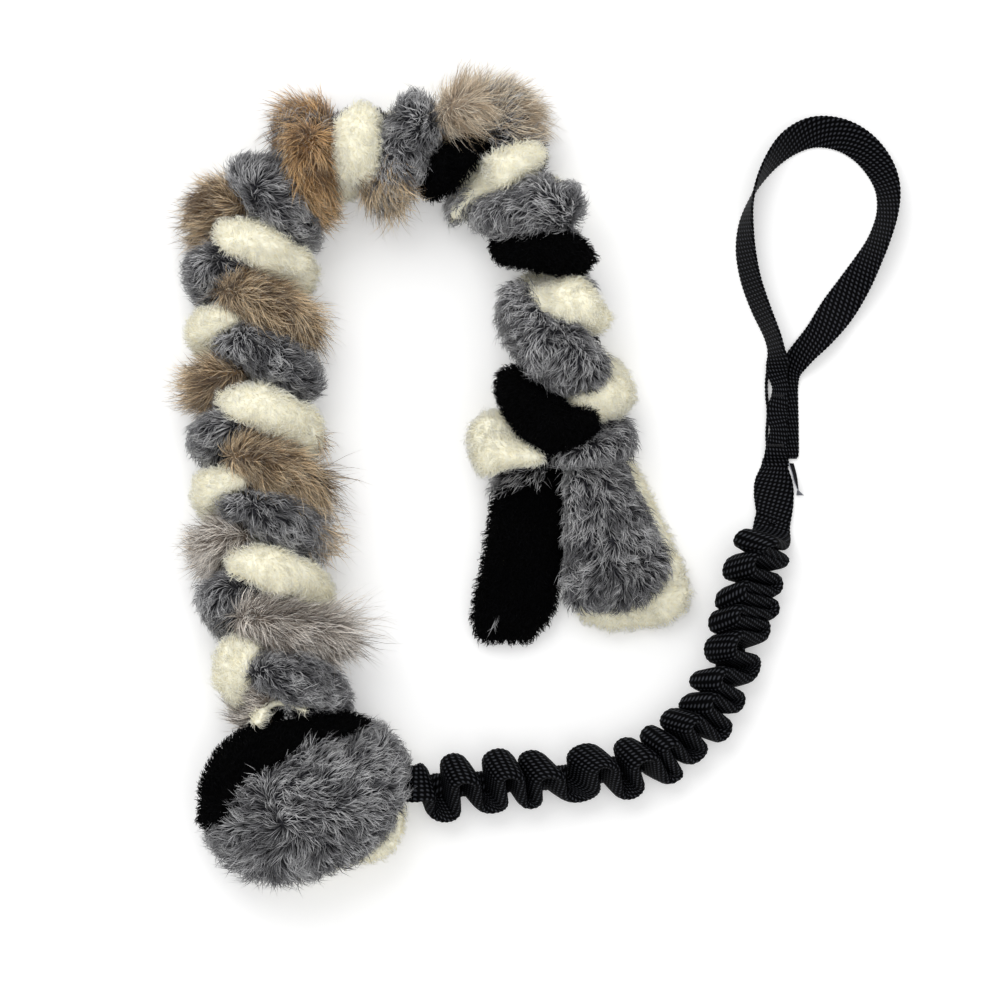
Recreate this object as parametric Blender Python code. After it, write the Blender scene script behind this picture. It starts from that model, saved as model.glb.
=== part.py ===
"""A bungee tug toy, laid on a table as it is stored.

Three sheepskin strips and a few rabbit pelts are plaited into a braid that lies in an
arch. One end of the braid is a fat knot that grips a flat tube of webbing. The tube is
gathered over an elastic cord, runs flat for a short neck and goes on as the hand loop.
The other end of the braid lets the three strips hang loose as tails.

Metres, +Z up. The table is z = 0, and the origin is the middle of the toy's footprint.
"""

from math import cos, pi, radians, sin, sqrt

import bmesh
import bpy
import numpy as np
from mathutils import Matrix, Vector

# Places on the table were read as pixels of a picture taken from straight above.
PHOTO_PIXEL = 0.00054  # length on the table that one pixel covers
CENTRE_PX = (545, 473)

# Clearances between touching pieces
PIECE_GAP = 0.0003
CUT_OVERRUN_SHARE = 40  # of a clearance, how far a cut runs out of the piece
STRAND_GAP = 0.0010
CROSSING_EASE_SHARE = 0.32  # of the turn of two strips round each other in a ring step

# Braid
BRAID_PITCH = 0.0867  # length in which one strip goes round the braid once
FIRST_CROSSING = 0.0276  # where the grey strip first crosses over, from the knot
STRAND_RADIUS = 0.0222
STRAND_SWING = 0.0120  # how far a strip's middle swings to either side
STRAND_RISE = 0.0080  # how far it rises over the others and dips under them
BRAID_ROLL = radians(34)  # turn of the braid about its own length
BRAID_HEIGHT = 0.0255  # of its middle above the table
BRAID_RING_STEP = 0.0054
STRAND_SIDES = 10
CROSSING_TURN = radians(135)  # a strip's phase where it lies uppermost
SOFTNESS = 8  # how square the corners of a strip's section are
BRAID_ROUTE_PX = (
    (286, 720), (281, 695), (276, 665), (268, 620), (262, 560), (259, 500), (257, 440),
    (255, 380), (253, 320), (252, 265), (257, 222), (277, 184), (310, 157),
    (350, 143), (395, 138), (440, 138), (480, 148), (512, 172), (538, 210),
    (556, 252), (565, 295), (566, 340), (560, 385), (552, 420), (548, 445), (548, 460),
)  # fmt: skip

# The stretch of braid that twists when the far leg is lifted, measured from the knot
TWIST_START = 0.336
TWIST_LENGTH = 0.052

# Rabbit pelts lie on the black strip. Each value is a place along the braid.
PELT_RISE_SHARE = 0.09  # of the strip's radius, from its middle up to the pelt's hide
PELT_START_SHARE = 0.07  # of the radius, from the hide up to the pelt's middle
BROWN_PELT_START = 0.113
RUST_PELT_START = 0.293
BEIGE_PELT_LENGTH = 0.055

# Knot
KNOT_MIDDLE_PX = (302, 789)
KNOT_LENGTH = 0.112
KNOT_WIDTH = 0.087
KNOT_HEIGHT = 0.060  # before it is cut flat underneath
KNOT_SUNK = 0.0025  # how much the table cuts off
KNOT_TURN = radians(17)
KNOT_SEGMENTS = 28
KNOT_RINGS = 16
BLACK_BAND_EDGE_PX = (284, 757)
BLACK_BAND_TURN = radians(34)
BLACK_BAND_TILT = radians(-20)
BLACK_BAND_TOP = 0.049  # height of its edge on the knot
CREAM_BAND_TOP = 0.0125  # height of the cream band under the knot's middle
CREAM_BAND_SLOPE = radians(20)
CREAM_BAND_HEADING = radians(-50)

# Flat tube of webbing
WEBBING_WIDTH = 0.020
WEBBING_THICKNESS = 0.0020
WEBBING_EDGE_SHARE = 0.93  # of the half width, where the flat faces end

# Gathered sleeve over the elastic
SLEEVE_THICKNESS = 0.0044
SLEEVE_WALL = 0.0009
SLEEVE_WAVES = 15
SLEEVE_FIRST_WAVE = 0.0250  # length of the wave at the knot, and the last is shorter
SLEEVE_SWING = 0.0120  # from its middle line to the crest of a wave
SLEEVE_TILT = radians(45)  # of the waves' plane from the table
SLEEVE_LEAN = radians(22)  # of the tube's width towards the handle
SLEEVE_EASE_LENGTH = 0.022  # of bungee, in which the waves grow to their full swing
SLEEVE_LEAN_LENGTH = 0.045  # of bungee, in which they lean over to the full tilt
SLEEVE_ARC_STEPS = 4
ELASTIC_WIDTH = 0.0075
ELASTIC_THICKNESS = 0.0014
BUNGEE_ROUTE_PX = (
    (407, 783), (440, 787), (480, 785), (520, 781), (560, 779), (595, 774),
    (630, 766), (660, 752), (684, 735), (704, 715), (720, 690), (731, 662),
    (738, 635), (743, 610), (749, 585), (757, 560), (769, 537), (776, 517),
)  # fmt: skip

# Tube end gripped in the knot
ANCHOR_LENGTH = 0.050
ANCHOR_HEIGHT = 0.0200
ANCHOR_STOP_LENGTH = 0.009
ANCHOR_STOP_THICKNESS = 0.009

# Neck, seam and hand loop. Each row is x, y in pixels, then the strap's lean in degrees
# from flat, then its width as a share of the webbing's and its height over the table
# in layers of webbing.
NECK_TOP_PX = (777, 467)
NECK_STATION_SHARES = (0, 0.15, 0.35, 0.6, 0.8, 1)
NECK_FLAT_SHARE = 0.5  # of the neck, in which the tube flattens
HINGE_RISE = 0.0006  # of the handle's bending line above the neck
LOOP_ROUTE_PX = (
    (777, 466, 180, 1.00, 0.00), (777, 461, 180, 0.97, 0.20), (777, 455, 180, 0.80, 1.10),
    (777, 445, 180, 0.62, 1.30), (777, 420, 180, 0.58, 1.30), (777, 395, 180, 0.58, 1.30),
    (776, 372, 160, 0.66, 1.30), (774, 352, 130, 0.88, 1.20), (769, 333, 116, 1.00, 0.70),
    (761, 305, 117, 1.00, 0.20), (752, 278, 119, 1.00, 0.00), (747, 250, 118, 1.00, 0.00),
    (747, 225, 110, 1.00, 0.00), (751, 203, 96, 1.00, 0.00), (760, 180, 80, 1.00, 0.00),
    (774, 158, 64, 1.00, 0.00), (791, 141, 48, 1.00, 0.00), (811, 131, 38, 1.00, 0.00),
    (831, 130, 34, 1.00, 0.00), (851, 136, 34, 1.00, 0.00), (869, 149, 38, 1.00, 0.00),
    (883, 168, 45, 1.00, 0.00), (890, 189, 54, 1.00, 0.00), (889, 213, 60, 1.00, 0.00),
    (881, 238, 58, 1.00, 0.00), (870, 260, 48, 1.00, 0.00), (855, 286, 30, 1.00, 0.00),
    (839, 310, 18, 1.00, 0.00), (820, 332, 9, 1.00, 0.00), (801, 353, 4, 1.00, 0.00),
    (788, 376, 1, 1.00, 0.00), (783, 402, 0, 0.98, 0.00), (782, 430, 0, 0.97, 0.00),
    (782, 458, 0, 0.97, 0.00),
)  # fmt: skip
LOOP_RING_STEP = 0.0055
SEAM_LAYER_SHARE = 1.70  # thickness of the folded layer over plain webbing
SEAM_TOP_ROW, SEAM_BOTTOM_ROW = 5, 3  # of the loop's route
TACK_LENGTH = 0.0018
TACK_THICKNESS = 0.0006
TACK_WIDTH = 0.009

# Blank label sewn to the neck's side
LABEL_START = 0.0015  # from the neck's top
LABEL_LENGTH = 0.016
LABEL_HEIGHT = 0.009
LABEL_THICKNESS = 0.0008
LABEL_CURL_SHARES = ((0, 0), (0.25, 0.02), (0.5, 0.12), (0.75, 0.34), (1, 0.62))

# Loose tails
TAIL_HINGE_HEIGHT = 0.036
TAIL_SPLIT_PX = 567  # the upright plane between the black tail and the other two
TAIL_TOP_PX = 460.5
TAIL_SIDES = 12
TAIL_SQUARENESS = 0.75  # 1 is an ellipse, and less is squarer
BLACK_TAIL_THICKNESS = 0.020
CREAM_TAIL_THICKNESS = 0.013
GREY_TAIL_THICKNESS = 0.020
# Each row is x, y in pixels, half the width in pixels, and the thickness as a share.
BLACK_TAIL_ROWS = (
    (536, 461, 30, 0.80), (533, 482, 34, 0.95), (531, 505, 37, 1.00), (528, 535, 39, 1.00),
    (523, 570, 40, 0.95), (516, 600, 40, 0.88), (510, 622, 37, 0.72), (505, 640, 27, 0.45),
)  # fmt: skip
GREY_TAIL_ROWS = (
    (592, 461, 24, 0.80), (598, 485, 31, 0.95), (606, 512, 38, 1.00), (613, 540, 44, 1.00),
    (617, 565, 49, 1.00), (612, 587, 45, 0.85), (602, 605, 34, 0.55),
)  # fmt: skip
CREAM_TAIL_ROWS = (
    (600, 461, 31, 0.85), (606, 485, 38, 1.00), (613, 515, 45, 1.00), (621, 550, 53, 1.00),
    (627, 580, 58, 1.00), (626, 603, 50, 0.90), (622, 620, 38, 0.60),
)  # fmt: skip

GREY_WOOL = ("grey_sheepskin", (0.16, 0.17, 0.18), 0.95)
CREAM_WOOL = ("cream_sheepskin", (0.86, 0.80, 0.62), 0.95)
BLACK_WOOL = ("black_sheepskin", (0.008, 0.008, 0.009), 0.90)
GREY_FUR = ("grey_rabbit_fur", (0.24, 0.21, 0.18), 0.80)
BROWN_FUR = ("brown_rabbit_fur", (0.26, 0.17, 0.10), 0.80)
RUST_FUR = ("rust_rabbit_fur", (0.34, 0.17, 0.08), 0.80)
BEIGE_FUR = ("beige_rabbit_fur", (0.46, 0.36, 0.26), 0.80)
NYLON = ("black_nylon", (0.010, 0.010, 0.012), 0.60)
ELASTIC = ("elastic", (0.03, 0.03, 0.03), 0.50)
THREAD = ("black_thread", (0.006, 0.006, 0.006), 0.55)
LABEL = ("label", (0.05, 0.05, 0.055), 0.60)


UP = np.array([0.0, 0.0, 1.0])
RECTANGLE = ((1, 1), (-1, 1), (-1, -1), (1, -1))


def clear_scene():
    for item in list(bpy.data.objects):
        bpy.data.objects.remove(item, do_unlink=True)


def material(finish):
    """The material of one finish, made when it is first asked for."""
    name, colour, roughness = finish
    found = bpy.data.materials.get(name)
    if found:
        return found
    made = bpy.data.materials.new(name)
    made.use_nodes = True
    shader = made.node_tree.nodes["Principled BSDF"]
    shader.inputs["Base Color"].default_value = (*colour, 1)
    shader.inputs["Roughness"].default_value = roughness
    return made


def make_object(name, points, faces, finish, origin=None):
    """A closed mesh as an object, with its own origin where a joint needs one."""
    origin = Vector(origin or (0, 0, 0))
    mesh = bpy.data.meshes.new(name)
    mesh.from_pydata([Vector(p) - origin for p in points], [], faces)
    shape = bmesh.new()
    shape.from_mesh(mesh)
    bmesh.ops.recalc_face_normals(shape, faces=shape.faces)
    shape.to_mesh(mesh)
    shape.free()
    mesh.shade_smooth()
    mesh.set_sharp_from_angle(angle=radians(40))
    made = bpy.data.objects.new(name, mesh)
    made.location = origin
    made.data.materials.append(material(finish))
    bpy.context.collection.objects.link(made)
    return made


def on_table(x_px, y_px):
    return np.array(
        [(x_px - CENTRE_PX[0]) * PHOTO_PIXEL, (CENTRE_PX[1] - y_px) * PHOTO_PIXEL]
    )


class Route:
    """A smooth curve through its own points, read by the length along it."""

    STEPS = 40

    def __init__(self, rows):
        rows = np.array(rows, float)
        ends = np.vstack([2 * rows[0] - rows[1], rows, 2 * rows[-1] - rows[-2]])
        curve = []
        for a, b, c, d in zip(ends, ends[1:], ends[2:], ends[3:]):
            for t in np.arange(self.STEPS) / self.STEPS:
                bend = (2 * a - 5 * b + 4 * c - d) * t**2 + (3 * b - a - 3 * c + d) * t**3
                curve.append((2 * b + (c - a) * t + bend) / 2)
        self.rows = np.array([*curve, rows[-1]])
        steps = np.linalg.norm(np.diff(self.rows[:, :2], axis=0), axis=1)
        self.lengths = np.concatenate([[0], np.cumsum(steps)])
        self.length = self.lengths[-1]
        self.row_lengths = self.lengths[:: self.STEPS]

    def row(self, s):
        """All columns at this length along the route."""
        return np.array([np.interp(s, self.lengths, column) for column in self.rows.T])

    def point(self, s):
        return self.row(s)[:2]

    def heading(self, s):
        """The unit direction of the route on the table."""
        reach = self.length / len(self.lengths)
        step = self.point(min(s + reach, self.length)) - self.point(max(s - reach, 0))
        return step / np.linalg.norm(step)


def loft(rings):
    """Points and faces of a closed skin over equal rings, with flat ends."""
    count = len(rings[0])
    faces = [tuple(range(count))[::-1]]
    for i in range(len(rings) - 1):
        for j in range(count):
            k = (j + 1) % count
            low, high = i * count, (i + 1) * count
            faces.append((low + j, low + k, high + k, high + j))
    faces.append(tuple((len(rings) - 1) * count + j for j in range(count)))
    return [p for ring in rings for p in ring], faces


def loft_tube(outer, inner):
    """Points and faces of a hollow skin that is open at both ends."""
    count = len(outer[0])
    shells = [p for ring in outer for p in ring], [p for ring in inner for p in ring]
    start = len(shells[0])
    last = (len(outer) - 1) * count
    faces = []
    for i in range(len(outer) - 1):
        for j in range(count):
            k = (j + 1) % count
            low, high = i * count, (i + 1) * count
            faces.append((low + j, low + k, high + k, high + j))
            low, high = low + start, high + start
            faces.append((low + k, low + j, high + j, high + k))
    for j in range(count):
        k = (j + 1) % count
        faces.append((start + j, start + k, k, j))
        faces.append((last + j, last + k, start + last + k, start + last + j))
    return [*shells[0], *shells[1]], faces


# Braid

BRAID = Route([on_table(*row) for row in BRAID_ROUTE_PX])
STRIPS = ("grey", "black", "cream")  # in the order in which they cross over


def strand_middle(strip, s):
    """Where a strip's middle is in the braid's cross-section: to the left, and up."""
    crossing = FIRST_CROSSING + STRIPS.index(strip) * BRAID_PITCH / len(STRIPS)
    turn = CROSSING_TURN + 2 * pi * (s - crossing) / BRAID_PITCH
    left, up = -STRAND_SWING * sin(turn), -STRAND_RISE * sin(2 * turn)
    return np.array(
        [
            left * cos(BRAID_ROLL) + up * sin(BRAID_ROLL),
            up * cos(BRAID_ROLL) - left * sin(BRAID_ROLL),
        ]
    )


def turning(strip, other, s):
    """How far the next strip's place turns round this one within a ring step, as a length
    at their distance. The faces between two strips ease away from each other by a share
    of it where the strips cross, because there they also twist."""
    ends = []
    for place in (s - BRAID_RING_STEP / 2, s + BRAID_RING_STEP / 2):
        across = strand_middle(other, place) - strand_middle(strip, place)
        ends.append(across / np.linalg.norm(across))
    middle = strand_middle(other, s) - strand_middle(strip, s)
    return np.linalg.norm(ends[1] - ends[0]) * np.linalg.norm(middle)


def reach_round(start, heading, middle, radius):
    """How far a ray runs inside a circle."""
    off = start - middle
    along = heading @ off
    return sqrt(along**2 - off @ off + radius**2) - along


def strand_section(strip, s, part):
    """One strip's outline in the cross-section: round, but pressed flat on the others.
    The part is whole, or hide or pelt where a rabbit pelt lies on the strip."""
    middle = strand_middle(strip, s)
    walls = []
    for other in STRIPS:
        if other == strip:
            continue
        towards = strand_middle(other, s) - middle
        apart = np.linalg.norm(towards)
        half_gap = STRAND_GAP / 2 + CROSSING_EASE_SHARE * turning(strip, other, s)
        face = middle + towards * (1 / 2 - half_gap / apart)
        walls.append((face, towards / apart))
    start = middle
    if part != "whole":
        side = 1 if part == "pelt" else -1
        split = middle + np.array([0, PELT_RISE_SHARE * STRAND_RADIUS])
        walls.append((split + np.array([0, side * PIECE_GAP]), np.array([0, -side])))
        if part == "pelt":
            start = split + np.array([0, PELT_START_SHARE * STRAND_RADIUS])
    outline = []
    for j in range(STRAND_SIDES):
        angle = 2 * pi * j / STRAND_SIDES
        heading = np.array([cos(angle), sin(angle)])
        limits = [reach_round(start, heading, middle, STRAND_RADIUS)]
        for face, normal in walls:
            slope = heading @ normal
            if slope > 0:
                limits.append((face - start) @ normal / slope)
        shortest = min(limits)
        soft = sum((shortest / limit) ** SOFTNESS for limit in limits)
        outline.append(start + heading * shortest * soft ** (-1 / SOFTNESS))
    return outline


def braid_point(s, left, up):
    """A point of the braid's cross-section, in the world."""
    x, y = BRAID.point(s)
    ahead = BRAID.heading(s)
    return (
        x - left * ahead[1],
        y + left * ahead[0],
        max(BRAID_HEIGHT + up, 0),
    )


def make_strand(name, strip, start, end, finish, part="whole"):
    steps = np.arange(0, BRAID.length, BRAID_RING_STEP)
    margin = BRAID_RING_STEP / 4
    inside = steps[(steps > start + margin) & (steps < end - margin)]
    rings = []
    for s in (start, *inside, end):
        rings.append([braid_point(s, *p) for p in strand_section(strip, s, part)])
    return make_object(name, *loft(rings), finish)


def make_braid():
    """Each strip in three lengths: before, in and after the stretch that twists."""
    twist_end = TWIST_START + TWIST_LENGTH
    spans = {
        "near": (PIECE_GAP, TWIST_START - PIECE_GAP),
        "twist": (TWIST_START, twist_end),
        "far": (twist_end + PIECE_GAP, BRAID.length),
    }
    for strip, finish in (("grey", GREY_WOOL), ("cream", CREAM_WOOL)):
        for place, (start, end) in spans.items():
            make_strand(f"{strip}_strip_{place}", strip, start, end, finish)
    beige_end = twist_end + BEIGE_PELT_LENGTH
    near_end = spans["near"][1]
    far_start = spans["far"][0]
    make_strand("black_strip_near", "black", *spans["near"], BLACK_WOOL, "hide")
    make_strand("black_strip_twist", "black", *spans["twist"], BLACK_WOOL)
    make_strand("black_strip_far", "black", far_start, beige_end, BLACK_WOOL, "hide")
    pelts = (
        ("grey_rabbit_pelt", PIECE_GAP, BROWN_PELT_START, GREY_FUR),
        ("brown_rabbit_pelt", BROWN_PELT_START, RUST_PELT_START, BROWN_FUR),
        ("rust_rabbit_pelt", RUST_PELT_START, near_end, RUST_FUR),
        ("beige_rabbit_pelt", far_start, beige_end, BEIGE_FUR),
    )
    for name, start, end, finish in pelts:
        make_strand(name, "black", start, end - PIECE_GAP, finish, "pelt")
    make_strand("black_strip_end", "black", beige_end + PIECE_GAP, BRAID.length, BLACK_WOOL)


# Knot


def knot_blank():
    """The whole knot as one mesh in the world, cut flat where it lies."""
    shape = bmesh.new()
    bmesh.ops.create_uvsphere(
        shape, u_segments=KNOT_SEGMENTS, v_segments=KNOT_RINGS, radius=1 / 2
    )
    size = Matrix.Diagonal((KNOT_LENGTH, KNOT_WIDTH, KNOT_HEIGHT, 1))
    middle = (*on_table(*KNOT_MIDDLE_PX), KNOT_HEIGHT / 2 - KNOT_SUNK)
    place = Matrix.Translation(middle) @ Matrix.Rotation(KNOT_TURN, 4, "Z")
    bmesh.ops.transform(shape, matrix=place @ size, verts=shape.verts)
    cut(shape, Vector((0, 0, 0)), Vector((0, 0, -1)))
    start, ahead = BRAID.point(0), BRAID.heading(0)
    cut(shape, Vector((*start, 0)), Vector((*ahead, 0)))
    return shape


def cut(shape, point, outward):
    """Removes what lies past the plane through the point, and closes the cut."""
    everything = [*shape.verts, *shape.edges, *shape.faces]
    made = bmesh.ops.bisect_plane(
        shape, geom=everything, plane_co=point, plane_no=outward, clear_outer=True
    )
    rim = [item for item in made["geom_cut"] if isinstance(item, bmesh.types.BMEdge)]
    bmesh.ops.edgeloop_fill(shape, edges=rim)


def knot_planes():
    """A point and a normal of the plane under the black band and of the one over the
    cream band. Both normals point away from the grey band between them."""
    side = Vector((-sin(BLACK_BAND_TURN), cos(BLACK_BAND_TURN), 0))
    black = side * cos(BLACK_BAND_TILT) + Vector((0, 0, sin(BLACK_BAND_TILT)))
    black_point = Vector((*on_table(*BLACK_BAND_EDGE_PX), BLACK_BAND_TOP))
    heading = Vector((cos(CREAM_BAND_HEADING), sin(CREAM_BAND_HEADING), 0))
    cream = heading * sin(CREAM_BAND_SLOPE) - Vector((0, 0, cos(CREAM_BAND_SLOPE)))
    cream_point = Vector((*on_table(*KNOT_MIDDLE_PX), CREAM_BAND_TOP))
    return (black_point, black), (cream_point, cream)


def make_knot_band(name, planes, finish):
    """One band of the knot: the blank with what lies past each plane cut away."""
    shape = knot_blank()
    for point, outward in planes:
        cut(shape, point - outward * PIECE_GAP / 2, outward)
    mesh = bpy.data.meshes.new(name)
    shape.to_mesh(mesh)
    shape.free()
    mesh.shade_smooth()
    mesh.set_sharp_from_angle(angle=radians(40))
    made = bpy.data.objects.new(name, mesh)
    made.data.materials.append(material(finish))
    bpy.context.collection.objects.link(made)
    return made


def band_ring(middle, across, through, half_width, half_thickness):
    """A flat tube's outline: six points, two on its edges and two pairs on its faces."""
    flat = half_width * WEBBING_EDGE_SHARE
    corners = (
        (half_width, 0), (flat, half_thickness), (-flat, half_thickness),
        (-half_width, 0), (-flat, -half_thickness), (flat, -half_thickness),
    )  # fmt: skip
    return [middle + across * w + through * h for w, h in corners]


def anchor_rings(clearance):
    """The tube's end in the knot, with its folded stop, larger by a clearance."""
    ahead = np.array([*BUNGEE.heading(0), 0])
    side = np.array([-ahead[1], ahead[0], 0])
    mouth = np.array([*BUNGEE.point(0), ANCHOR_HEIGHT]) - ahead * PIECE_GAP
    half_width = WEBBING_WIDTH / 2 + clearance
    stop_start = ANCHOR_LENGTH - ANCHOR_STOP_LENGTH
    stations = (
        (-clearance * CUT_OVERRUN_SHARE, SLEEVE_THICKNESS),
        (stop_start - ANCHOR_STOP_LENGTH / 2, SLEEVE_THICKNESS),
        (stop_start, ANCHOR_STOP_THICKNESS),
        (ANCHOR_LENGTH + clearance, ANCHOR_STOP_THICKNESS),
    )
    rings = []
    for back, thickness in stations:
        half_thickness = thickness / 2 + clearance
        rings.append(band_ring(mouth - ahead * back, side, UP, half_width, half_thickness))
    return rings


def make_knot():
    at_black, at_cream = knot_planes()
    past_black = at_black[0], -at_black[1]
    past_cream = at_cream[0], -at_cream[1]
    bands = [
        make_knot_band("black_knot_band", [past_black], BLACK_WOOL),
        make_knot_band("grey_knot_band", [at_black, at_cream], GREY_WOOL),
        make_knot_band("cream_knot_band", [at_black, past_cream], CREAM_WOOL),
    ]
    cutter = make_object("anchor_room", *loft(anchor_rings(PIECE_GAP)), NYLON)
    cutter.hide_render = True
    cutter.display_type = "WIRE"
    for band in bands:
        room = band.modifiers.new("anchor_room", "BOOLEAN")
        room.operation = "DIFFERENCE"
        room.object = cutter
    make_object("bungee_anchor", *loft(anchor_rings(0)), NYLON)


# Bungee

BUNGEE = Route([on_table(*row) for row in BUNGEE_ROUTE_PX])


def shortening():
    """How much the waves shorten towards the handle, as a share of the mean wave."""
    return SLEEVE_FIRST_WAVE * SLEEVE_WAVES / BUNGEE.length - 1


def wave_length(passed):
    mean = BUNGEE.length / SLEEVE_WAVES
    return mean * (1 + shortening() * (1 - 2 * passed / SLEEVE_WAVES))


def wave_place(passed):
    """How far along the bungee so many waves reach."""
    share = passed / SLEEVE_WAVES
    return BUNGEE.length * share * (1 + shortening() * (1 - share))


def grown(s, length):
    """From 0, at either end of the bungee, to 1 from this length inwards."""
    ease = min(s, BUNGEE.length - s, length) / length
    return ease * ease * (3 - 2 * ease)


def wave_stations():
    """The waves passed so far and how far the sleeve swings off its axis, in steps. A
    wave is two half rounds joined by straights."""
    stations = [(0.0, 0.0)]
    for half_wave in range(2 * SLEEVE_WAVES):
        crest = half_wave / 2 + 1 / 4
        side = 1 if half_wave % 2 == 0 else -1
        swing = SLEEVE_SWING * grown(wave_place(crest), SLEEVE_EASE_LENGTH)
        rounding = min(wave_length(crest) / 4, swing)
        for step in range(SLEEVE_ARC_STEPS + 1):
            turn = pi * step / SLEEVE_ARC_STEPS
            passed = crest - cos(turn) / 4
            off = side * (swing - rounding + rounding * sin(turn))
            moved = abs(off - stations[-1][1]) > PIECE_GAP
            if step > 0 or moved:
                stations.append((passed, off))
    return stations


def sleeve_frames():
    """Each step's middle, and the directions across the tube and through it."""
    middles, acrosses = [], []
    for passed, off in wave_stations():
        s = wave_place(passed)
        ahead = np.array([*BUNGEE.heading(s), 0])
        left = np.array([-ahead[1], ahead[0], 0])
        gathered = grown(s, SLEEVE_EASE_LENGTH)
        lean = SLEEVE_LEAN * grown(s, SLEEVE_LEAN_LENGTH)
        tilt = radians(90) + (SLEEVE_TILT - radians(90)) * grown(s, SLEEVE_LEAN_LENGTH)
        swing_way = left * cos(tilt) + UP * sin(tilt)
        reach = SLEEVE_SWING * gathered + SLEEVE_THICKNESS / 2
        height = reach * sin(tilt) + WEBBING_WIDTH / 2 * cos(tilt)
        if s < SLEEVE_EASE_LENGTH:
            height += (ANCHOR_HEIGHT - SLEEVE_THICKNESS / 2) * (1 - gathered)
        across = np.cross(ahead, swing_way) * cos(lean) + ahead * sin(lean)
        middle = np.array([*BUNGEE.point(s), height]) + swing_way * off
        lowest = SLEEVE_THICKNESS / 2 + abs(across[2]) * WEBBING_WIDTH / 2
        middle[2] = max(middle[2], lowest)
        middles.append(middle)
        acrosses.append(across)
    frames = []
    last = len(middles) - 1
    for i, (middle, across) in enumerate(zip(middles, acrosses)):
        along = middles[min(i + 1, last)] - middles[max(i - 1, 0)]
        if i in (0, last):
            along = np.cross(UP, across)
        through = np.cross(across, along)
        frames.append((middle, across, through / np.linalg.norm(through)))
    return frames


def least_gap(frames, half_width, thickness):
    """The least gap between the tube's own turns, over all of its steps."""
    edges = [-half_width, 0, half_width]
    rows = np.array([[m + a * w for w in edges] for m, a, _ in frames])
    nearest = []
    for i in range(len(rows)):
        later = rows[i + SLEEVE_ARC_STEPS :].reshape(-1, 3)
        if len(later):
            apart = rows[i][:, None] - later[None]
            nearest.append(np.linalg.norm(apart, axis=2).min())
    return min(nearest) - thickness


def flat_ring(middle, across, through):
    """A rectangle's corners, from its middle and its two half sides as vectors."""
    return [middle + across * w + through * h for w, h in RECTANGLE]


def make_bungee():
    frames = sleeve_frames()
    outer, inner, core = [], [], []
    wide, thick = WEBBING_WIDTH / 2, SLEEVE_THICKNESS / 2
    for middle, across, through in frames:
        outer.append(band_ring(middle, across, through, wide, thick))
        room = wide - SLEEVE_WALL, thick - SLEEVE_WALL
        inner.append(band_ring(middle, across, through, *room))
        sides = across * ELASTIC_WIDTH / 2, through * ELASTIC_THICKNESS / 2
        core.append(flat_ring(middle, *sides))
    make_object("bungee_sleeve", *loft_tube(outer, inner), NYLON)
    make_object("elastic_core", *loft(core), ELASTIC)
    gap = least_gap(frames, wide, SLEEVE_THICKNESS)
    print(f"the sleeve's least gap to itself is {gap * 1000:.2f} mm")


# Neck, seam and hand loop

LOOP = Route([(*on_table(*row[:2]), *row[2:]) for row in LOOP_ROUTE_PX])
NARROWEST_SHARE = min(row[3] for row in LOOP_ROUTE_PX)


def make_neck():
    """The flat stretch of tube between the gathers and the hand loop."""
    end_ahead = np.array([*BUNGEE.heading(BUNGEE.length), 0])
    bottom = np.array([*BUNGEE.point(BUNGEE.length), 0]) + end_ahead * PIECE_GAP
    top = np.array([*on_table(*NECK_TOP_PX), 0]) - np.array([0, PIECE_GAP, 0])
    rings = []
    for share in NECK_STATION_SHARES:
        middle = bottom + (top - bottom) * share
        ahead = end_ahead * (1 - share) + np.array([0, 1, 0]) * share
        across = np.array([ahead[1], -ahead[0], 0]) / np.linalg.norm(ahead)
        flatten = min(1, share / NECK_FLAT_SHARE)
        thickness = SLEEVE_THICKNESS + (WEBBING_THICKNESS - SLEEVE_THICKNESS) * flatten
        middle = middle + UP * thickness / 2
        rings.append(band_ring(middle, across, UP, WEBBING_WIDTH / 2, thickness / 2))
    make_object("tube_neck", *loft(rings), NYLON)


def make_label():
    """A blank label that stands on edge along the neck and curls away from it."""
    x, y = on_table(*NECK_TOP_PX)
    edge = x + WEBBING_WIDTH / 2 + PIECE_GAP + LABEL_THICKNESS / 2
    thick, tall = np.array([LABEL_THICKNESS / 2, 0, 0]), UP * LABEL_HEIGHT / 2
    rings = []
    for along, curl in LABEL_CURL_SHARES:
        place = (edge + curl * LABEL_HEIGHT, y - LABEL_START - along * LABEL_LENGTH, 0)
        rings.append(flat_ring(np.array(place) + tall, thick, tall))
    make_object("label_tab", *loft(rings), LABEL)


def loop_frame(s):
    """The strap's middle, the directions across and through it, and half its size."""
    x, y, lean, width_share, layers = LOOP.row(s)
    ahead = np.array([*LOOP.heading(s), 0])
    left = np.array([-ahead[1], ahead[0], 0])
    across = left * cos(radians(lean)) + UP * sin(radians(lean))
    folded = min(1, (1 - width_share) / (1 - NARROWEST_SHARE))
    thickness = WEBBING_THICKNESS * (1 + (SEAM_LAYER_SHARE - 1) * max(folded, 0))
    width = WEBBING_WIDTH * width_share
    lowest = abs(across[2]) * width / 2 + abs(cos(radians(lean))) * thickness / 2
    middle = np.array([x, y, layers * WEBBING_THICKNESS + lowest])
    return middle, across, np.cross(ahead, across), width / 2, thickness / 2


def make_loop():
    rings = []
    for s in np.linspace(0, LOOP.length, round(LOOP.length / LOOP_RING_STEP) + 1):
        rings.append(band_ring(*loop_frame(s)))
    make_object("hand_loop", *loft(rings), NYLON, origin=hinge_place())


def hinge_place():
    """The middle of the line about which the hand loop lifts off the table."""
    return (*on_table(*NECK_TOP_PX), WEBBING_THICKNESS + HINGE_RISE)


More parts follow.
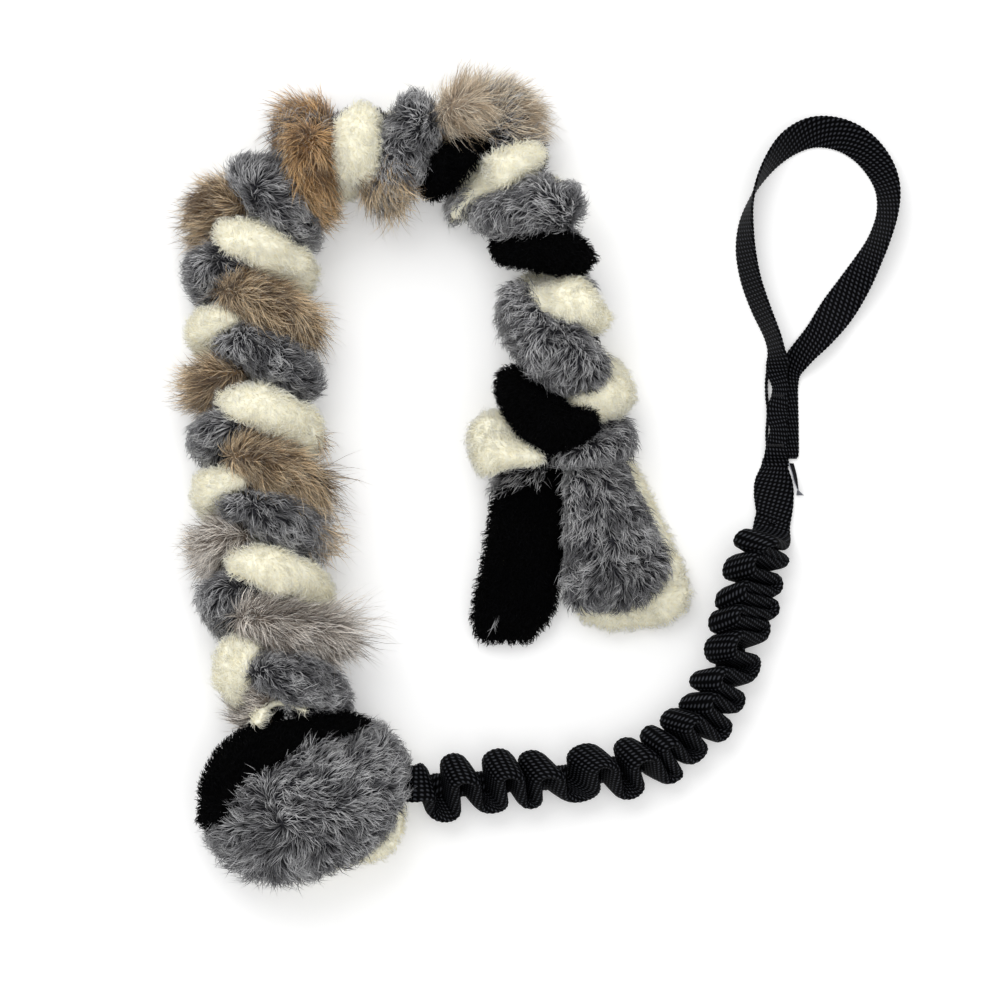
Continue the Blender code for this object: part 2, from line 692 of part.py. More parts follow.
def make_tacks():
    """The rows of stitches that hold the strap's end to the tube, as flat bars."""
    for name, row in (("upper_bar_tack", SEAM_TOP_ROW), ("lower_bar_tack", SEAM_BOTTOM_ROW)):
        s = LOOP.row_lengths[row]
        middle, across, _, _, half_strap = loop_frame(s)
        middle = middle + UP * (half_strap + PIECE_GAP + TACK_THICKNESS / 2)
        ahead = np.array([*LOOP.heading(s), 0]) * TACK_LENGTH / 2
        sides = across * TACK_WIDTH / 2, UP * TACK_THICKNESS / 2
        rings = [flat_ring(middle + end, *sides) for end in (-ahead, ahead)]
        make_object(name, *loft(rings), THREAD)


# Tails


def make_tail(name, rows, thickness, bottom, finish):
    """One loose end of a strip. Its sections stand square to the table, so that each
    tail lifts beside its neighbour without touching it."""
    split = on_table(TAIL_SPLIT_PX, 0)[0]
    left_side = rows[0][0] < TAIL_SPLIT_PX
    rings = []
    for x_px, y_px, half_px, share in rows:
        x, y = on_table(x_px, y_px)
        height = thickness * share
        ring = []
        for j in range(TAIL_SIDES):
            turn = 2 * pi * j / TAIL_SIDES
            wide, high = (
                np.sign(v) * abs(v) ** TAIL_SQUARENESS for v in (cos(turn), sin(turn))
            )
            px = x + wide * half_px * PHOTO_PIXEL
            px = min(px, split - PIECE_GAP) if left_side else max(px, split + PIECE_GAP)
            ring.append((px, y, bottom + height / 2 * (1 + high)))
        rings.append(ring)
    hinge = (on_table(rows[0][0], 0)[0], on_table(0, TAIL_TOP_PX)[1], TAIL_HINGE_HEIGHT)
    make_object(name, *loft(rings), finish, origin=hinge)


def make_tails():
    make_tail("black_tail", BLACK_TAIL_ROWS, BLACK_TAIL_THICKNESS, 0, BLACK_WOOL)
    make_tail("cream_tail", CREAM_TAIL_ROWS, CREAM_TAIL_THICKNESS, 0, CREAM_WOOL)
    on_cream = CREAM_TAIL_THICKNESS + PIECE_GAP
    make_tail("grey_tail", GREY_TAIL_ROWS, GREY_TAIL_THICKNESS, on_cream, GREY_WOOL)


def main():
    clear_scene()
    make_braid()
    make_knot()
    make_bungee()
    make_neck()
    make_label()
    make_loop()
    make_tacks()
    make_tails()


main()
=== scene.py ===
# %% [markdown]
# # A bungee tug toy, dressed
#
# The toy is a plait of sheepskin strips and rabbit pelts with a fat knot at one end. The
# knot grips a gathered bungee tube that ends in a webbing hand loop. The solid model is
# already packed, so this notebook only gives it its looks: wool, fur and woven nylon.
#
# All lengths are metres. The table is z = 0.

from math import cos, pi, radians, sin

import bmesh
import bpy
import numpy as np
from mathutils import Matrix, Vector, noise
from mathutils.bvhtree import BVHTree


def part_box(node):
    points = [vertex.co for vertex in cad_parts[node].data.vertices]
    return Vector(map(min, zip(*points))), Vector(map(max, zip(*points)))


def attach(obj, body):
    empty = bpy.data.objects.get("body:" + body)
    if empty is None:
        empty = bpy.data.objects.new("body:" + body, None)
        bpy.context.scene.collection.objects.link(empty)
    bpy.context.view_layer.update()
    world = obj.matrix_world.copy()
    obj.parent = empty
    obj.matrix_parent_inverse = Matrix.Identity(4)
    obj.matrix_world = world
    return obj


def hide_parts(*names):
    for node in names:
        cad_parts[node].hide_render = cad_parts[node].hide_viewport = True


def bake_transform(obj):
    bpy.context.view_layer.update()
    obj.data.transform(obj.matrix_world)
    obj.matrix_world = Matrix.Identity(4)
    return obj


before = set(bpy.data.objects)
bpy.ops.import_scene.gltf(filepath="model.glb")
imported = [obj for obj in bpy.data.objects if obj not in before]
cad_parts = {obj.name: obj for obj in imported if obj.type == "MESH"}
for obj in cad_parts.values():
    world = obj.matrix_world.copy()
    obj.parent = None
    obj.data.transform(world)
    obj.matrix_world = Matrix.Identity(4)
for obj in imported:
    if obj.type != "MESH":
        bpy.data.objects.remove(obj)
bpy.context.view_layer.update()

# %% [markdown]
# ## The camera
#
# The toy was photographed from straight above, so one pixel of the 1000 x 1000 picture is
# the same length everywhere on the table. A long lens keeps the tall knot from spreading
# outwards. The same rule turns any pixel of the picture into a place on the table.

# %% Camera over the table
PHOTO_PIXEL = 0.00054
CENTRE_PX = (545, 473)
VIEW_PIXELS = 1000
LENS = 150.0


def on_table(x_px, y_px, z=0.0):
    """The place on the table under a pixel of the picture."""
    x = (x_px - CENTRE_PX[0]) * PHOTO_PIXEL
    y = (CENTRE_PX[1] - y_px) * PHOTO_PIXEL
    return np.array([x, y, z])


view = bpy.data.cameras.new("camera")
view.lens = LENS
view.sensor_width = 36.0
view.clip_end = 20.0
distance = VIEW_PIXELS * PHOTO_PIXEL * LENS / view.sensor_width
camera = bpy.data.objects.new("camera", view)
camera.location = on_table(VIEW_PIXELS / 2, VIEW_PIXELS / 2, 0.02 + distance)
bpy.context.collection.objects.link(camera)
bpy.context.scene.camera = camera
bpy.context.scene.view_settings.view_transform = "Standard"
print(f"camera {camera.location.z:.2f} m over the table")

# %% [markdown]
# ## Curves, straps and finished meshes
#
# Every strap here is a flat tube swept along a line. A list of frames says where its
# middle is, which way is across it and which way is through it. Sweeping by hand instead
# of with a curve object keeps the cloth coordinates exact: its UV map is in metres, u
# across the strap and v along it, so the weave has its real size on every piece.
#
# A route is a Catmull-Rom curve: it passes through its own points, and a row may carry
# more than a place, such as the strap's lean there.

# %% A smooth route through points
class Route:
    """A smooth curve through its own points, read by the length along it."""

    STEPS = 40  # from one point to the next

    def __init__(self, rows):
        rows = np.array(rows, float)
        ends = np.vstack([2 * rows[0] - rows[1], rows, 2 * rows[-1] - rows[-2]])
        curve = []
        for a, b, c, d in zip(ends, ends[1:], ends[2:], ends[3:]):
            for t in np.arange(self.STEPS) / self.STEPS:
                bend = (2 * a - 5 * b + 4 * c - d) * t**2 + (3 * b - a - 3 * c + d) * t**3
                curve.append((2 * b + (c - a) * t + bend) / 2)
        self.rows = np.array([*curve, rows[-1]])
        steps = np.linalg.norm(np.diff(self.rows[:, :2], axis=0), axis=1)
        self.lengths = np.concatenate([[0], np.cumsum(steps)])
        self.length = self.lengths[-1]
        self.row_lengths = self.lengths[:: self.STEPS]

    def row(self, s):
        return np.array([np.interp(s, self.lengths, column) for column in self.rows.T])

    def heading(self, s):
        reach = self.length / len(self.lengths)
        ahead = self.row(min(s + reach, self.length)) - self.row(max(s - reach, 0))
        return ahead[:2] / np.linalg.norm(ahead[:2])


# %% Make an object, and turn live modifiers into a plain mesh
UP = np.array([0.0, 0.0, 1.0])


def make_object(name, mesh, *materials):
    """Puts a mesh in the scene at the origin, where the export wants it."""
    made = bpy.data.objects.new(name, mesh)
    bpy.context.collection.objects.link(made)
    for each in materials:
        mesh.materials.append(each)
    return made


def freeze(piece):
    """Applies a piece's modifiers by taking its finished mesh."""
    graph = bpy.context.evaluated_depsgraph_get()
    finished = bpy.data.meshes.new_from_object(piece.evaluated_get(graph))
    piece.modifiers.clear()
    old, piece.data = piece.data, finished
    bpy.data.meshes.remove(old)
    piece.data.name = piece.name
    return piece


# %% Rings round a strap's frames
STRAP_SIDES = 20
RIB_PITCH = 0.0022  # from one cross rib of the weave to the next
RIB_STEPS = 4
RIB_RISE = 0.00035
TABLE_GAP = 0.0001


def outline(squareness):
    """A flat rounded outline, one unit to each side. A lower power is squarer."""
    turns = 2 * pi * np.arange(STRAP_SIDES) / STRAP_SIDES
    wide = np.sign(np.cos(turns)) * abs(np.cos(turns)) ** squareness[0]
    high = np.sign(np.sin(turns)) * abs(np.sin(turns)) ** squareness[1]
    return np.stack([wide, high], axis=1)


def evened(frames, step):
    """The same frames at even lengths along the strap."""
    table = np.array([np.concatenate([*row[:3], row[3:]]) for row in frames])
    moved = np.linalg.norm(np.diff(table[:, :3], axis=0), axis=1)
    along = np.concatenate([[0], np.cumsum(moved)])
    count = round(along[-1] / step) + 1
    wanted = np.linspace(0, along[-1], count)
    return wanted, np.stack([np.interp(wanted, along, c) for c in table.T], axis=1)


def rings(along, table, shape, rise):
    """The outline laid round each frame and ribbed across, never under the table."""
    middles, across, through = table[:, :3], table[:, 3:6], table[:, 6:9]
    across /= np.linalg.norm(across, axis=1)[:, None]
    through -= across * np.sum(across * through, axis=1)[:, None]
    through /= np.linalg.norm(through, axis=1)[:, None]
    ribs = rise * (np.cos(2 * pi * along / RIB_PITCH) - 1) / 2
    wide = (table[:, 9] + ribs)[:, None] * shape[None, :, 0]
    high = (table[:, 10] + ribs)[:, None] * shape[None, :, 1]
    points = wide[..., None] * across[:, None] + high[..., None] * through[:, None]
    points += middles[:, None]
    points = points.reshape(-1, 3)
    points[:, 2] = np.maximum(points[:, 2], TABLE_GAP)
    return points


# %% Sweep a woven strap along its frames
def map_cloth(mesh, along, around):
    """Writes the UV map: metres round the strap, and metres along it."""
    count = len(around) - 1
    values = np.zeros((len(mesh.loops), 2))
    for face in mesh.polygons:
        places = [divmod(mesh.loops[c].vertex_index, count) for c in face.loop_indices]
        turns = [j for _, j in places]
        closing = len(places) == 4 and max(turns) - min(turns) > 1
        for corner, (i, j) in zip(face.loop_indices, places):
            values[corner] = around[count if closing and j == 0 else j], along[i]
    mesh.uv_layers.new(name="cloth").data.foreach_set("uv", values.ravel())


def sweep(name, frames, squareness=(0.35, 0.8), rise=RIB_RISE, step=RIB_PITCH / RIB_STEPS):
    """A closed skin over the frames, ribbed across, with cloth coordinates in metres."""
    along, table = evened(frames, step)
    shape = outline(squareness)
    count = len(shape)
    ring = range(count)
    faces = [tuple(reversed(ring))]
    for low in range(0, (len(along) - 1) * count, count):
        for j in ring:
            k = (j + 1) % count
            faces.append((low + j, low + k, low + count + k, low + count + j))
    faces.append(tuple((len(along) - 1) * count + j for j in ring))
    mesh = bpy.data.meshes.new(name)
    mesh.from_pydata(rings(along, table, shape, rise).tolist(), [], faces)
    closed = np.vstack([shape, shape[:1]]) * table[0, 9:11]
    around = np.concatenate([[0], np.cumsum(np.linalg.norm(np.diff(closed, axis=0), axis=1))])
    map_cloth(mesh, along, around)
    tidy = bmesh.new()
    tidy.from_mesh(mesh)
    bmesh.ops.recalc_face_normals(tidy, faces=tidy.faces)
    tidy.to_mesh(mesh)
    tidy.free()
    mesh.shade_smooth()
    return mesh


# %% [markdown]
# ## Node trees
#
# One small function adds any node, in a material or in Geometry Nodes. It sets the
# node's own settings, and fills its inputs with plain values or with links. Colours are
# written as sRGB hex values, as a picture editor shows them, and the shader gets them in
# linear light.

# %% Add a node with its settings and links
def add(tree, kind, inputs=None, **settings):
    """A new node. A value that is a node stands for that node's first output."""
    node = tree.nodes.new(kind)
    for name, value in settings.items():
        setattr(node, name, value)
    for socket, value in (inputs or {}).items():
        if isinstance(value, bpy.types.Node):
            value = value.outputs[0]
        if isinstance(value, bpy.types.NodeSocket):
            tree.links.new(value, node.inputs[socket])
        else:
            node.inputs[socket].default_value = value
    return node


# %% Colours and materials
MATH, VECTOR = "ShaderNodeMath", "ShaderNodeVectorMath"


def srgb(code):
    """A colour written as an sRGB hex value, in linear light."""
    parts = [int(code[i : i + 2], 16) / 255 for i in (1, 3, 5)]
    return tuple(c / 12.92 if c <= 0.04045 else ((c + 0.055) / 1.055) ** 2.4 for c in parts) + (1,)


def new_material(name, roughness, **shader_values):
    """A material and its shader, with the values that are the same everywhere."""
    made = bpy.data.materials.new(name)
    made.use_nodes = True
    shader = made.node_tree.nodes["Principled BSDF"]
    shader.inputs["Roughness"].default_value = roughness
    for socket, value in shader_values.items():
        shader.inputs[socket.replace("_", " ")].default_value = value
    return made, made.node_tree, shader


def set_stops(ramp, *stops):
    """Gives a colour ramp its stops, each a position and a hex colour."""
    elements = ramp.color_ramp.elements
    while len(elements) < len(stops):
        elements.new(0.5)
    for element, (position, code) in zip(elements, stops):
        element.position = position
        element.color = srgb(code)
    return ramp


def wear(tree, shader, colour, bump=None):
    """Links a colour, and a bump where there is one, to the shader."""
    tree.links.new(colour.outputs[0], shader.inputs["Base Color"])
    if bump:
        tree.links.new(bump.outputs[0], shader.inputs["Normal"])


# %% [markdown]
# ## Woven nylon
#
# The tube and the hand loop are filament nylon webbing. Heavy weft ribs run across it
# every 2.2 mm, and each rib shows as a row of short slanted dashes where a warp yarn dives
# under it. Filament yarn is smooth, so the dashes catch the light and the gaps lie in
# shade. Modelled yarns would be far too many, so the skin carries the ribs and the
# material paints the dashes lighter, as a painted highlight, over gaps painted almost
# black as painted shade. The pattern follows the cloth coordinates, so it bends with
# every fold.

# %% Nylon webbing material
DASH_PITCH = 0.0023  # from one warp yarn to the next, across the strap
DASH_SLANT = 0.55  # how far a dash moves over within its rib, in dashes
RIB_STAGGER = 0.25  # and from one rib to the next


def nylon_webbing(name, has_cloth_map):
    """Dyed filament nylon: near-black gaps of painted shade under dashes with a dull painted
    highlight.
    """
    made, tree, shader = new_material(name, 0.55, Specular_IOR_Level=0.03)
    if has_cloth_map:
        cloth = add(tree, "ShaderNodeUVMap", uv_map="cloth")
    else:
        cloth = add(tree, "ShaderNodeTexCoord").outputs["Object"]
    parts = add(tree, "ShaderNodeSeparateXYZ", {0: cloth})
    across = add(tree, MATH, {0: parts.outputs[0], 1: DASH_PITCH}, operation="DIVIDE")
    along = add(tree, MATH, {0: parts.outputs[1], 1: RIB_PITCH}, operation="DIVIDE")
    rib = add(tree, MATH, {0: along}, operation="FLOOR")
    within = add(tree, MATH, {0: along}, operation="FRACT")
    slid = add(tree, MATH, {0: within, 1: DASH_SLANT, 2: across}, operation="MULTIPLY_ADD")
    stagger = add(tree, MATH, {0: rib, 1: RIB_STAGGER, 2: slid}, operation="MULTIPLY_ADD")
    turn = add(tree, MATH, {0: stagger, 1: 2 * pi}, operation="MULTIPLY")
    yarn = add(tree, MATH, {0: turn}, operation="COSINE")
    rib_turn = add(tree, MATH, {0: within, 1: pi}, operation="MULTIPLY")
    crown = add(tree, MATH, {0: rib_turn}, operation="SINE")
    lifted = add(tree, MATH, {0: yarn, 1: 0.34, 2: 0.58}, operation="MULTIPLY_ADD")
    height = add(tree, MATH, {0: lifted, 1: crown}, operation="MULTIPLY")
    # The colour rises with the yarn's height: a painted highlight on the dashes, painted shade in
    # the gaps
    tint = add(tree, "ShaderNodeValToRGB", {0: height})
    set_stops(tint, (0.42, "#020203"), (0.88, "#3c3e43"))
    bump = add(tree, "ShaderNodeBump", {"Strength": 0.8, "Distance": 0.0004, "Height": height})
    wear(tree, shader, tint, bump)
    return made


NYLON = nylon_webbing("woven_nylon_webbing", True)
print("material:", NYLON.name)

# %% [markdown]
# ## The gathered bungee
#
# A flat nylon tube is sewn over a much shorter elastic, so it gathers into folds like
# ribbon candy. Its line is two half rounds joined by straights, again and again, with the
# crests where the picture shows them. This is the toy's one cord: it leaves the knot, lies
# loose on the table, and goes back into the flat neck of the hand loop. A cloth
# simulation would fold it anywhere, so the folds are placed one by one.

# %% Where the folds are
BUNGEE = Route(
    [
        on_table(*row)[:2]
        for row in (
            (407, 783), (440, 787), (480, 785), (520, 781), (560, 779), (595, 774),
            (630, 766), (660, 752), (684, 735), (704, 715), (720, 690), (731, 662),
            (738, 635), (743, 610), (749, 585), (757, 560), (769, 537), (776, 517),
        )
    ]
)  # fmt: skip
CRESTS_PX = (
    (416, 762), (437, 830), (459, 752), (482, 815), (506, 746), (523, 807), (538, 750),
    (567, 804), (597, 739), (619, 803), (632, 738), (666, 794), (654, 730), (690, 768),
    (672, 707), (712, 751), (688, 693), (729, 719), (693, 670), (738, 701), (710, 638),
    (754, 661), (710, 614), (766, 642), (718, 591), (766, 616), (728, 558), (770, 585),
    (732, 532), (781, 552),
)  # fmt: skip
SWING = 0.0136  # of a crest, off the middle line
MEAN_REACH_PX = 31.7  # from the bungee's middle line to the outside of a crest
REACH_EFFECT = 0.9  # how much of a crest's own reach its swing follows
SWING_SHARES = (0.80, 1.22)  # the least and the most
FIRST_CREST = 0.005  # from the knot
LAST_CREST = 0.004  # from the neck
LEAST_FOLD = 0.0062  # from one crest to the next

print(f"bungee: {BUNGEE.length * 1000:.0f} mm along its middle line")


# %% Spread the crests along the bungee
def crest_places():
    """How far along the bungee each crest lies. They keep their order and some room."""
    places = []
    lowest = FIRST_CREST
    for x, y in CRESTS_PX:
        nearest = np.argmin(np.linalg.norm(BUNGEE.rows - on_table(x, y)[:2], axis=1))
        lowest = max(lowest, BUNGEE.lengths[nearest])
        places.append(lowest)
        lowest += LEAST_FOLD
    room = BUNGEE.length - LAST_CREST - places[-1]
    if room < 0:
        places = [place + room * (place / places[-1]) ** 2 for place in places]
    return places


def crest_swings():
    """How far each crest swings, from its distance to the middle line in the picture."""
    swings = []
    for (x, y), s in zip(CRESTS_PX, CRESTS):
        reach = np.linalg.norm(on_table(x, y)[:2] - BUNGEE.row(s)) / PHOTO_PIXEL
        share = 1 + REACH_EFFECT * (reach - MEAN_REACH_PX) / MEAN_REACH_PX
        swings.append(SWING * np.clip(share, *SWING_SHARES))
    return swings


CRESTS = crest_places()
SWINGS = crest_swings()
gaps = np.diff(CRESTS) * 1000
print(f"{len(CRESTS)} crests, {gaps.min():.1f} to {gaps.max():.1f} mm apart")

# %% The line of the tube, fold after fold
ARC_STEPS = 12
EASE_LENGTHS = (0.010, 0.014)  # in which the folds grow, at the knot and at the neck
LEAN_LENGTHS = (0.016, 0.030)  # in which they tip over, at either end
FOLD_LEAN = radians(24)
LEAN_VARIATION = 0.45
FACE_ON_FOLD = 7  # the crest whose whole width faces up
FACE_ON_LEAN = radians(48)
LEAST_SWING_SHARE = 0.45
LEAST_MOVE = 0.0003  # between two stations of the tube


def grown(s, lengths):
    """From 0, at either end of the bungee, to 1 from these lengths inwards."""
    ease = np.clip(min(s / lengths[0], (BUNGEE.length - s) / lengths[1]), 0, 1)
    return ease * ease * (3 - 2 * ease)


def tube_line():
    """Stations of place along the bungee, swing off its axis, and lean of the fold."""
    edges = [0.0, *((a + b) / 2 for a, b in zip(CRESTS, CRESTS[1:])), BUNGEE.length]
    stations = [(0.0, 0.0, 0.0)]
    for k, crest in enumerate(CRESTS):
        lean = FOLD_LEAN * (1 + LEAN_VARIATION * sin(2.4 * k + 0.7))
        if k == FACE_ON_FOLD:
            lean = FACE_ON_LEAN
        side = 1 if k % 2 == 0 else -1
        swing = SWINGS[k] * max(grown(crest, EASE_LENGTHS), LEAST_SWING_SHARE)
        start, end = edges[k], edges[k + 1]
        rounding = min((end - start) / 2, swing)
        for step in range(ARC_STEPS + 1):
            turn = pi * step / ARC_STEPS
            place = (start + end) / 2 - cos(turn) * (end - start) / 2
            off = side * (swing - rounding + rounding * sin(turn))
            if step > 0 or abs(off - stations[-1][1]) > LEAST_MOVE:
                stations.append((place, off, lean))
    return stations


def softened(values, reach):
    """A running mean, so that one fold's lean passes into the next."""
    padded = np.pad(values, reach, mode="edge")
    return np.convolve(padded, np.ones(2 * reach + 1) / (2 * reach + 1), mode="valid")


# %% Frames of the tube
TUBE_WIDTH = 0.020
TUBE_THICKNESS = 0.0044
ANCHOR_HEIGHT = 0.020
FOLD_TILT = radians(45)  # the swing's own slope, halfway between lying and upright


def tube_frames(half_width, half_thickness, puff=(1, 1)):
    """The frames of the sleeve, or of a band inside it. The folds puff it up."""
    middles, acrosses, sizes = [], [], []
    line = tube_line()
    leans = softened([row[2] for row in line], ARC_STEPS // 2)
    for (s, off, _), lean in zip(line, leans):
        ahead = np.array([*BUNGEE.heading(s), 0])
        left = np.array([-ahead[1], ahead[0], 0])
        gathered = grown(s, EASE_LENGTHS)
        tilt = radians(90) + (FOLD_TILT - radians(90)) * grown(s, LEAN_LENGTHS)
        swing_way = left * cos(tilt) + UP * sin(tilt)
        reach = SWING * gathered + TUBE_THICKNESS / 2
        height = reach * sin(tilt) + TUBE_WIDTH / 2 * cos(tilt)
        if s < EASE_LENGTHS[0]:
            height += (ANCHOR_HEIGHT - TUBE_THICKNESS / 2) * (1 - gathered)
        lean *= grown(s, LEAN_LENGTHS)
        across = np.cross(ahead, swing_way) * cos(lean) + ahead * sin(lean)
        middle = np.array([*BUNGEE.row(s), height]) + swing_way * off
        middle[2] = max(middle[2], TUBE_THICKNESS / 2 + abs(across[2]) * TUBE_WIDTH / 2)
        middles.append(middle)
        acrosses.append(across)
        puffed = [1 + (share - 1) * gathered for share in puff]
        sizes.append((half_width * puffed[0], half_thickness * puffed[1]))
    frames = []
    last = len(middles) - 1
    for i, (middle, across) in enumerate(zip(middles, acrosses)):
        step = middles[min(i + 1, last)] - middles[max(i - 1, 0)]
        if i in (0, last):
            step = np.cross(UP, across)
        through = np.cross(across, step)
        through /= np.linalg.norm(through)
        frames.append((middle, across, through, *sizes[i]))
    return frames


# %% The sleeve
PUFF_SHARES = (1.12, 1.45)  # of the flat tube's width and thickness


def stretch_with_bungee(name, mesh, material):
    """Puts a piece of the bungee in the scene, with its place baked into its mesh."""
    piece = make_object(name, mesh, material)
    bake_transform(piece)
    print(f"{name}: {len(mesh.polygons)} faces")
    return piece


sleeve_frames = tube_frames(TUBE_WIDTH / 2, TUBE_THICKNESS / 2, PUFF_SHARES)
sleeve_mesh = sweep("gathered_sleeve", sleeve_frames, (0.5, 0.85))
sleeve = stretch_with_bungee("gathered_sleeve", sleeve_mesh, NYLON)
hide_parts("bungee_sleeve")
print(f"bungee: {BUNGEE.length * 1000:.0f} mm at rest")

# %% [markdown]
# ## Inside the sleeve
#
# Between two folds one looks through to the tube's other wall, which bunches round the
# elastic. It is swept as a low ruffled core along the middle line. Without it, daylight
# would show through the folds. The elastic band is stretched inside and hardly seen.

# %% The sleeve's inner wall, bunched round the elastic
INNER_WIDTH = 0.0135
INNER_HEIGHT = 0.0095
INNER_LIFT = 0.0018  # over the table
INNER_ENDS = (0.008, 0.003)  # how far it stays inside the knot's end and the neck's end
INNER_LEAST_SHARE = 0.35
RUFFLE_PITCH = 0.0052
RUFFLE_HEIGHT = 0.0007


def inner_frames():
    frames = []
    for s in np.linspace(INNER_ENDS[0], BUNGEE.length - INNER_ENDS[1], 260):
        ahead = BUNGEE.heading(s)
        left = np.array([-ahead[1], ahead[0], 0])
        gathered = max(grown(s, LEAN_LENGTHS), INNER_LEAST_SHARE)
        wide, high = INNER_WIDTH * gathered / 2, INNER_HEIGHT * gathered / 2
        ruffle = sin(2 * pi * s / RUFFLE_PITCH) * RUFFLE_HEIGHT
        middle = np.array([*BUNGEE.row(s), high + INNER_LIFT + ruffle])
        frames.append((middle, left, UP, wide, high))
    return frames


inner_mesh = sweep("sleeve_inner_wall", inner_frames(), (0.6, 0.8))
stretch_with_bungee("sleeve_inner_wall", inner_mesh, NYLON)

# %% The elastic band inside
ELASTIC_WIDTH = 0.0075
ELASTIC_THICKNESS = 0.0014


def braided_elastic():
    """Rubber cords side by side in a dull braid, seen as faint lines along the band."""
    made, tree, shader = new_material("braided_elastic", 0.6)
    cloth = add(tree, "ShaderNodeUVMap", uv_map="cloth")
    cords = add(tree, "ShaderNodeTexWave", {0: cloth, "Scale": 130.0}, bands_direction="X")
    tint = add(tree, "ShaderNodeValToRGB", {0: cords.outputs["Fac"]})
    set_stops(tint, (0, "#1c1c1e"), (1, "#3c3c3f"))
    wear(tree, shader, tint)
    return made


band_frames = tube_frames(ELASTIC_WIDTH / 2, ELASTIC_THICKNESS / 2)
band_mesh = sweep("elastic_band", band_frames, (0.3, 0.5), rise=0.0, step=0.0015)
elastic = stretch_with_bungee("elastic_band", band_mesh, braided_elastic())
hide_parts("elastic_core")

# %% [markdown]
# ## Neck, seam and hand loop
#
# Past the last fold the same tube lies flat as the neck. Its end is pressed into webbing,
# taken round as the hand loop and sewn back on itself. The strap leans over where it
# bends on edge, so each row of its route gives a place, a lean, a width and the layers of
# webbing under it. Straps that are swept this way keep their true width in every bend.

# %% The neck
WEBBING_WIDTH = 0.020
WEBBING_THICKNESS = 0.0020
NECK_OVERLAP = 0.001  # of the neck over the sleeve's end
NECK_TOP_PX = (777, 458)
NECK_WIDTH_SHARES = (
    (0, 1.0), (0.12, 1.06), (0.3, 1.13), (0.5, 1.12), (0.65, 1.03), (0.78, 0.86), (0.86, 0.76),
    (1, 0.70),
)  # fmt: skip
FLAT_FROM_SHARE = 0.5
UNDER_LOOP_SHARES = (0.84, 0.89)  # between these the neck slips under the loop's end
UNDER_LOOP_GAP = 0.0002


def neck_frames():
    end_ahead = np.array([*BUNGEE.heading(BUNGEE.length), 0])
    bottom = np.array([*BUNGEE.row(BUNGEE.length), 0]) - end_ahead * NECK_OVERLAP
    top = on_table(*NECK_TOP_PX)
    frames = []
    for share in np.linspace(0, 1, 40):
        ahead = end_ahead * (1 - share) + np.array([0, 1, 0]) * share
        across = np.array([ahead[1], -ahead[0], 0]) / np.linalg.norm(ahead)
        flatten = min(1, share / FLAT_FROM_SHARE)
        flatten = flatten * flatten * (3 - 2 * flatten)
        thickness = TUBE_THICKNESS + (WEBBING_THICKNESS - TUBE_THICKNESS) * flatten
        hidden = np.interp(share, UNDER_LOOP_SHARES, (0, UNDER_LOOP_GAP))
        middle = bottom + (top - bottom) * share + UP * thickness / 2
        wide = np.interp(share, *zip(*NECK_WIDTH_SHARES)) * WEBBING_WIDTH / 2
        frames.append((middle, across, UP, wide - hidden, thickness / 2 - hidden))
    return frames


neck = make_object("flat_neck", sweep("flat_neck", neck_frames(), (0.45, 0.6)), NYLON)
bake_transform(neck)
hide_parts("tube_neck")
print(f"neck: {len(neck.data.polygons)} faces")

# %% The route of the hand loop
# Pixel of the picture, lean in degrees, share of the webbing's width, layers under it
LOOP = Route(
    [
        (*on_table(x, y)[:2], lean, share, layers)
        for x, y, lean, share, layers in (
            (778, 466, 180, 0.76, 0.00), (778, 461, 180, 0.74, 0.20),
            (778, 455, 180, 0.66, 1.10), (778.5, 446, 180, 0.60, 1.30),
            (780, 437, 180, 0.54, 1.30), (780.5, 427, 180, 0.50, 1.30),
            (779, 417, 180, 0.58, 1.30), (779, 408, 180, 0.58, 1.30),
            (781, 399, 180, 0.50, 1.30), (782, 388, 180, 0.45, 1.30),
            (781, 380, 178, 0.50, 1.30), (779, 371, 160, 0.60, 1.30),
            (778, 354, 120, 0.88, 1.20),
            (773.5, 335, 112, 1.00, 0.70), (761.5, 306, 117, 1.00, 0.20),
            (752, 278, 119, 1.00, 0.00), (747, 250, 118, 1.00, 0.00),
            (747, 225, 110, 1.00, 0.00), (751, 203, 96, 1.00, 0.00),
            (760, 180, 80, 1.00, 0.00), (774, 158, 64, 1.00, 0.00),
            (791, 141, 48, 1.00, 0.00), (811, 131, 38, 1.00, 0.00),
            (831, 130, 34, 1.00, 0.00), (851, 136, 34, 1.00, 0.00),
            (869, 149, 38, 1.00, 0.00), (883, 168, 45, 1.00, 0.00),
            (890, 189, 54, 1.00, 0.00), (889, 213, 60, 1.00, 0.00),
            (881, 238, 58, 1.00, 0.00), (870, 260, 48, 1.00, 0.00),
            (855, 286, 30, 1.00, 0.00), (839, 310, 18, 1.00, 0.00),
            (822, 333, 28, 0.92, 0.00), (804, 353, 30, 0.80, 0.00),
            (792.5, 369, 12, 0.66, 0.00), (790, 384, 3, 0.60, 0.00),
            (790.5, 402, 0, 0.57, 0.00), (791, 430, 0, 0.57, 0.00),
            (791, 454, 0, 0.57, 0.00), (791, 458.5, 0, 0.46, 0.00),
        )
    ]
)  # fmt: skip
print(f"strap: {LOOP.length * 1000:.0f} mm")

# %% The hand loop
FOLDED_WIDTH_SHARE = 0.58  # of the upper layer, where it is folded
FOLDED_SHARE = 0.70  # thickness that the fold adds


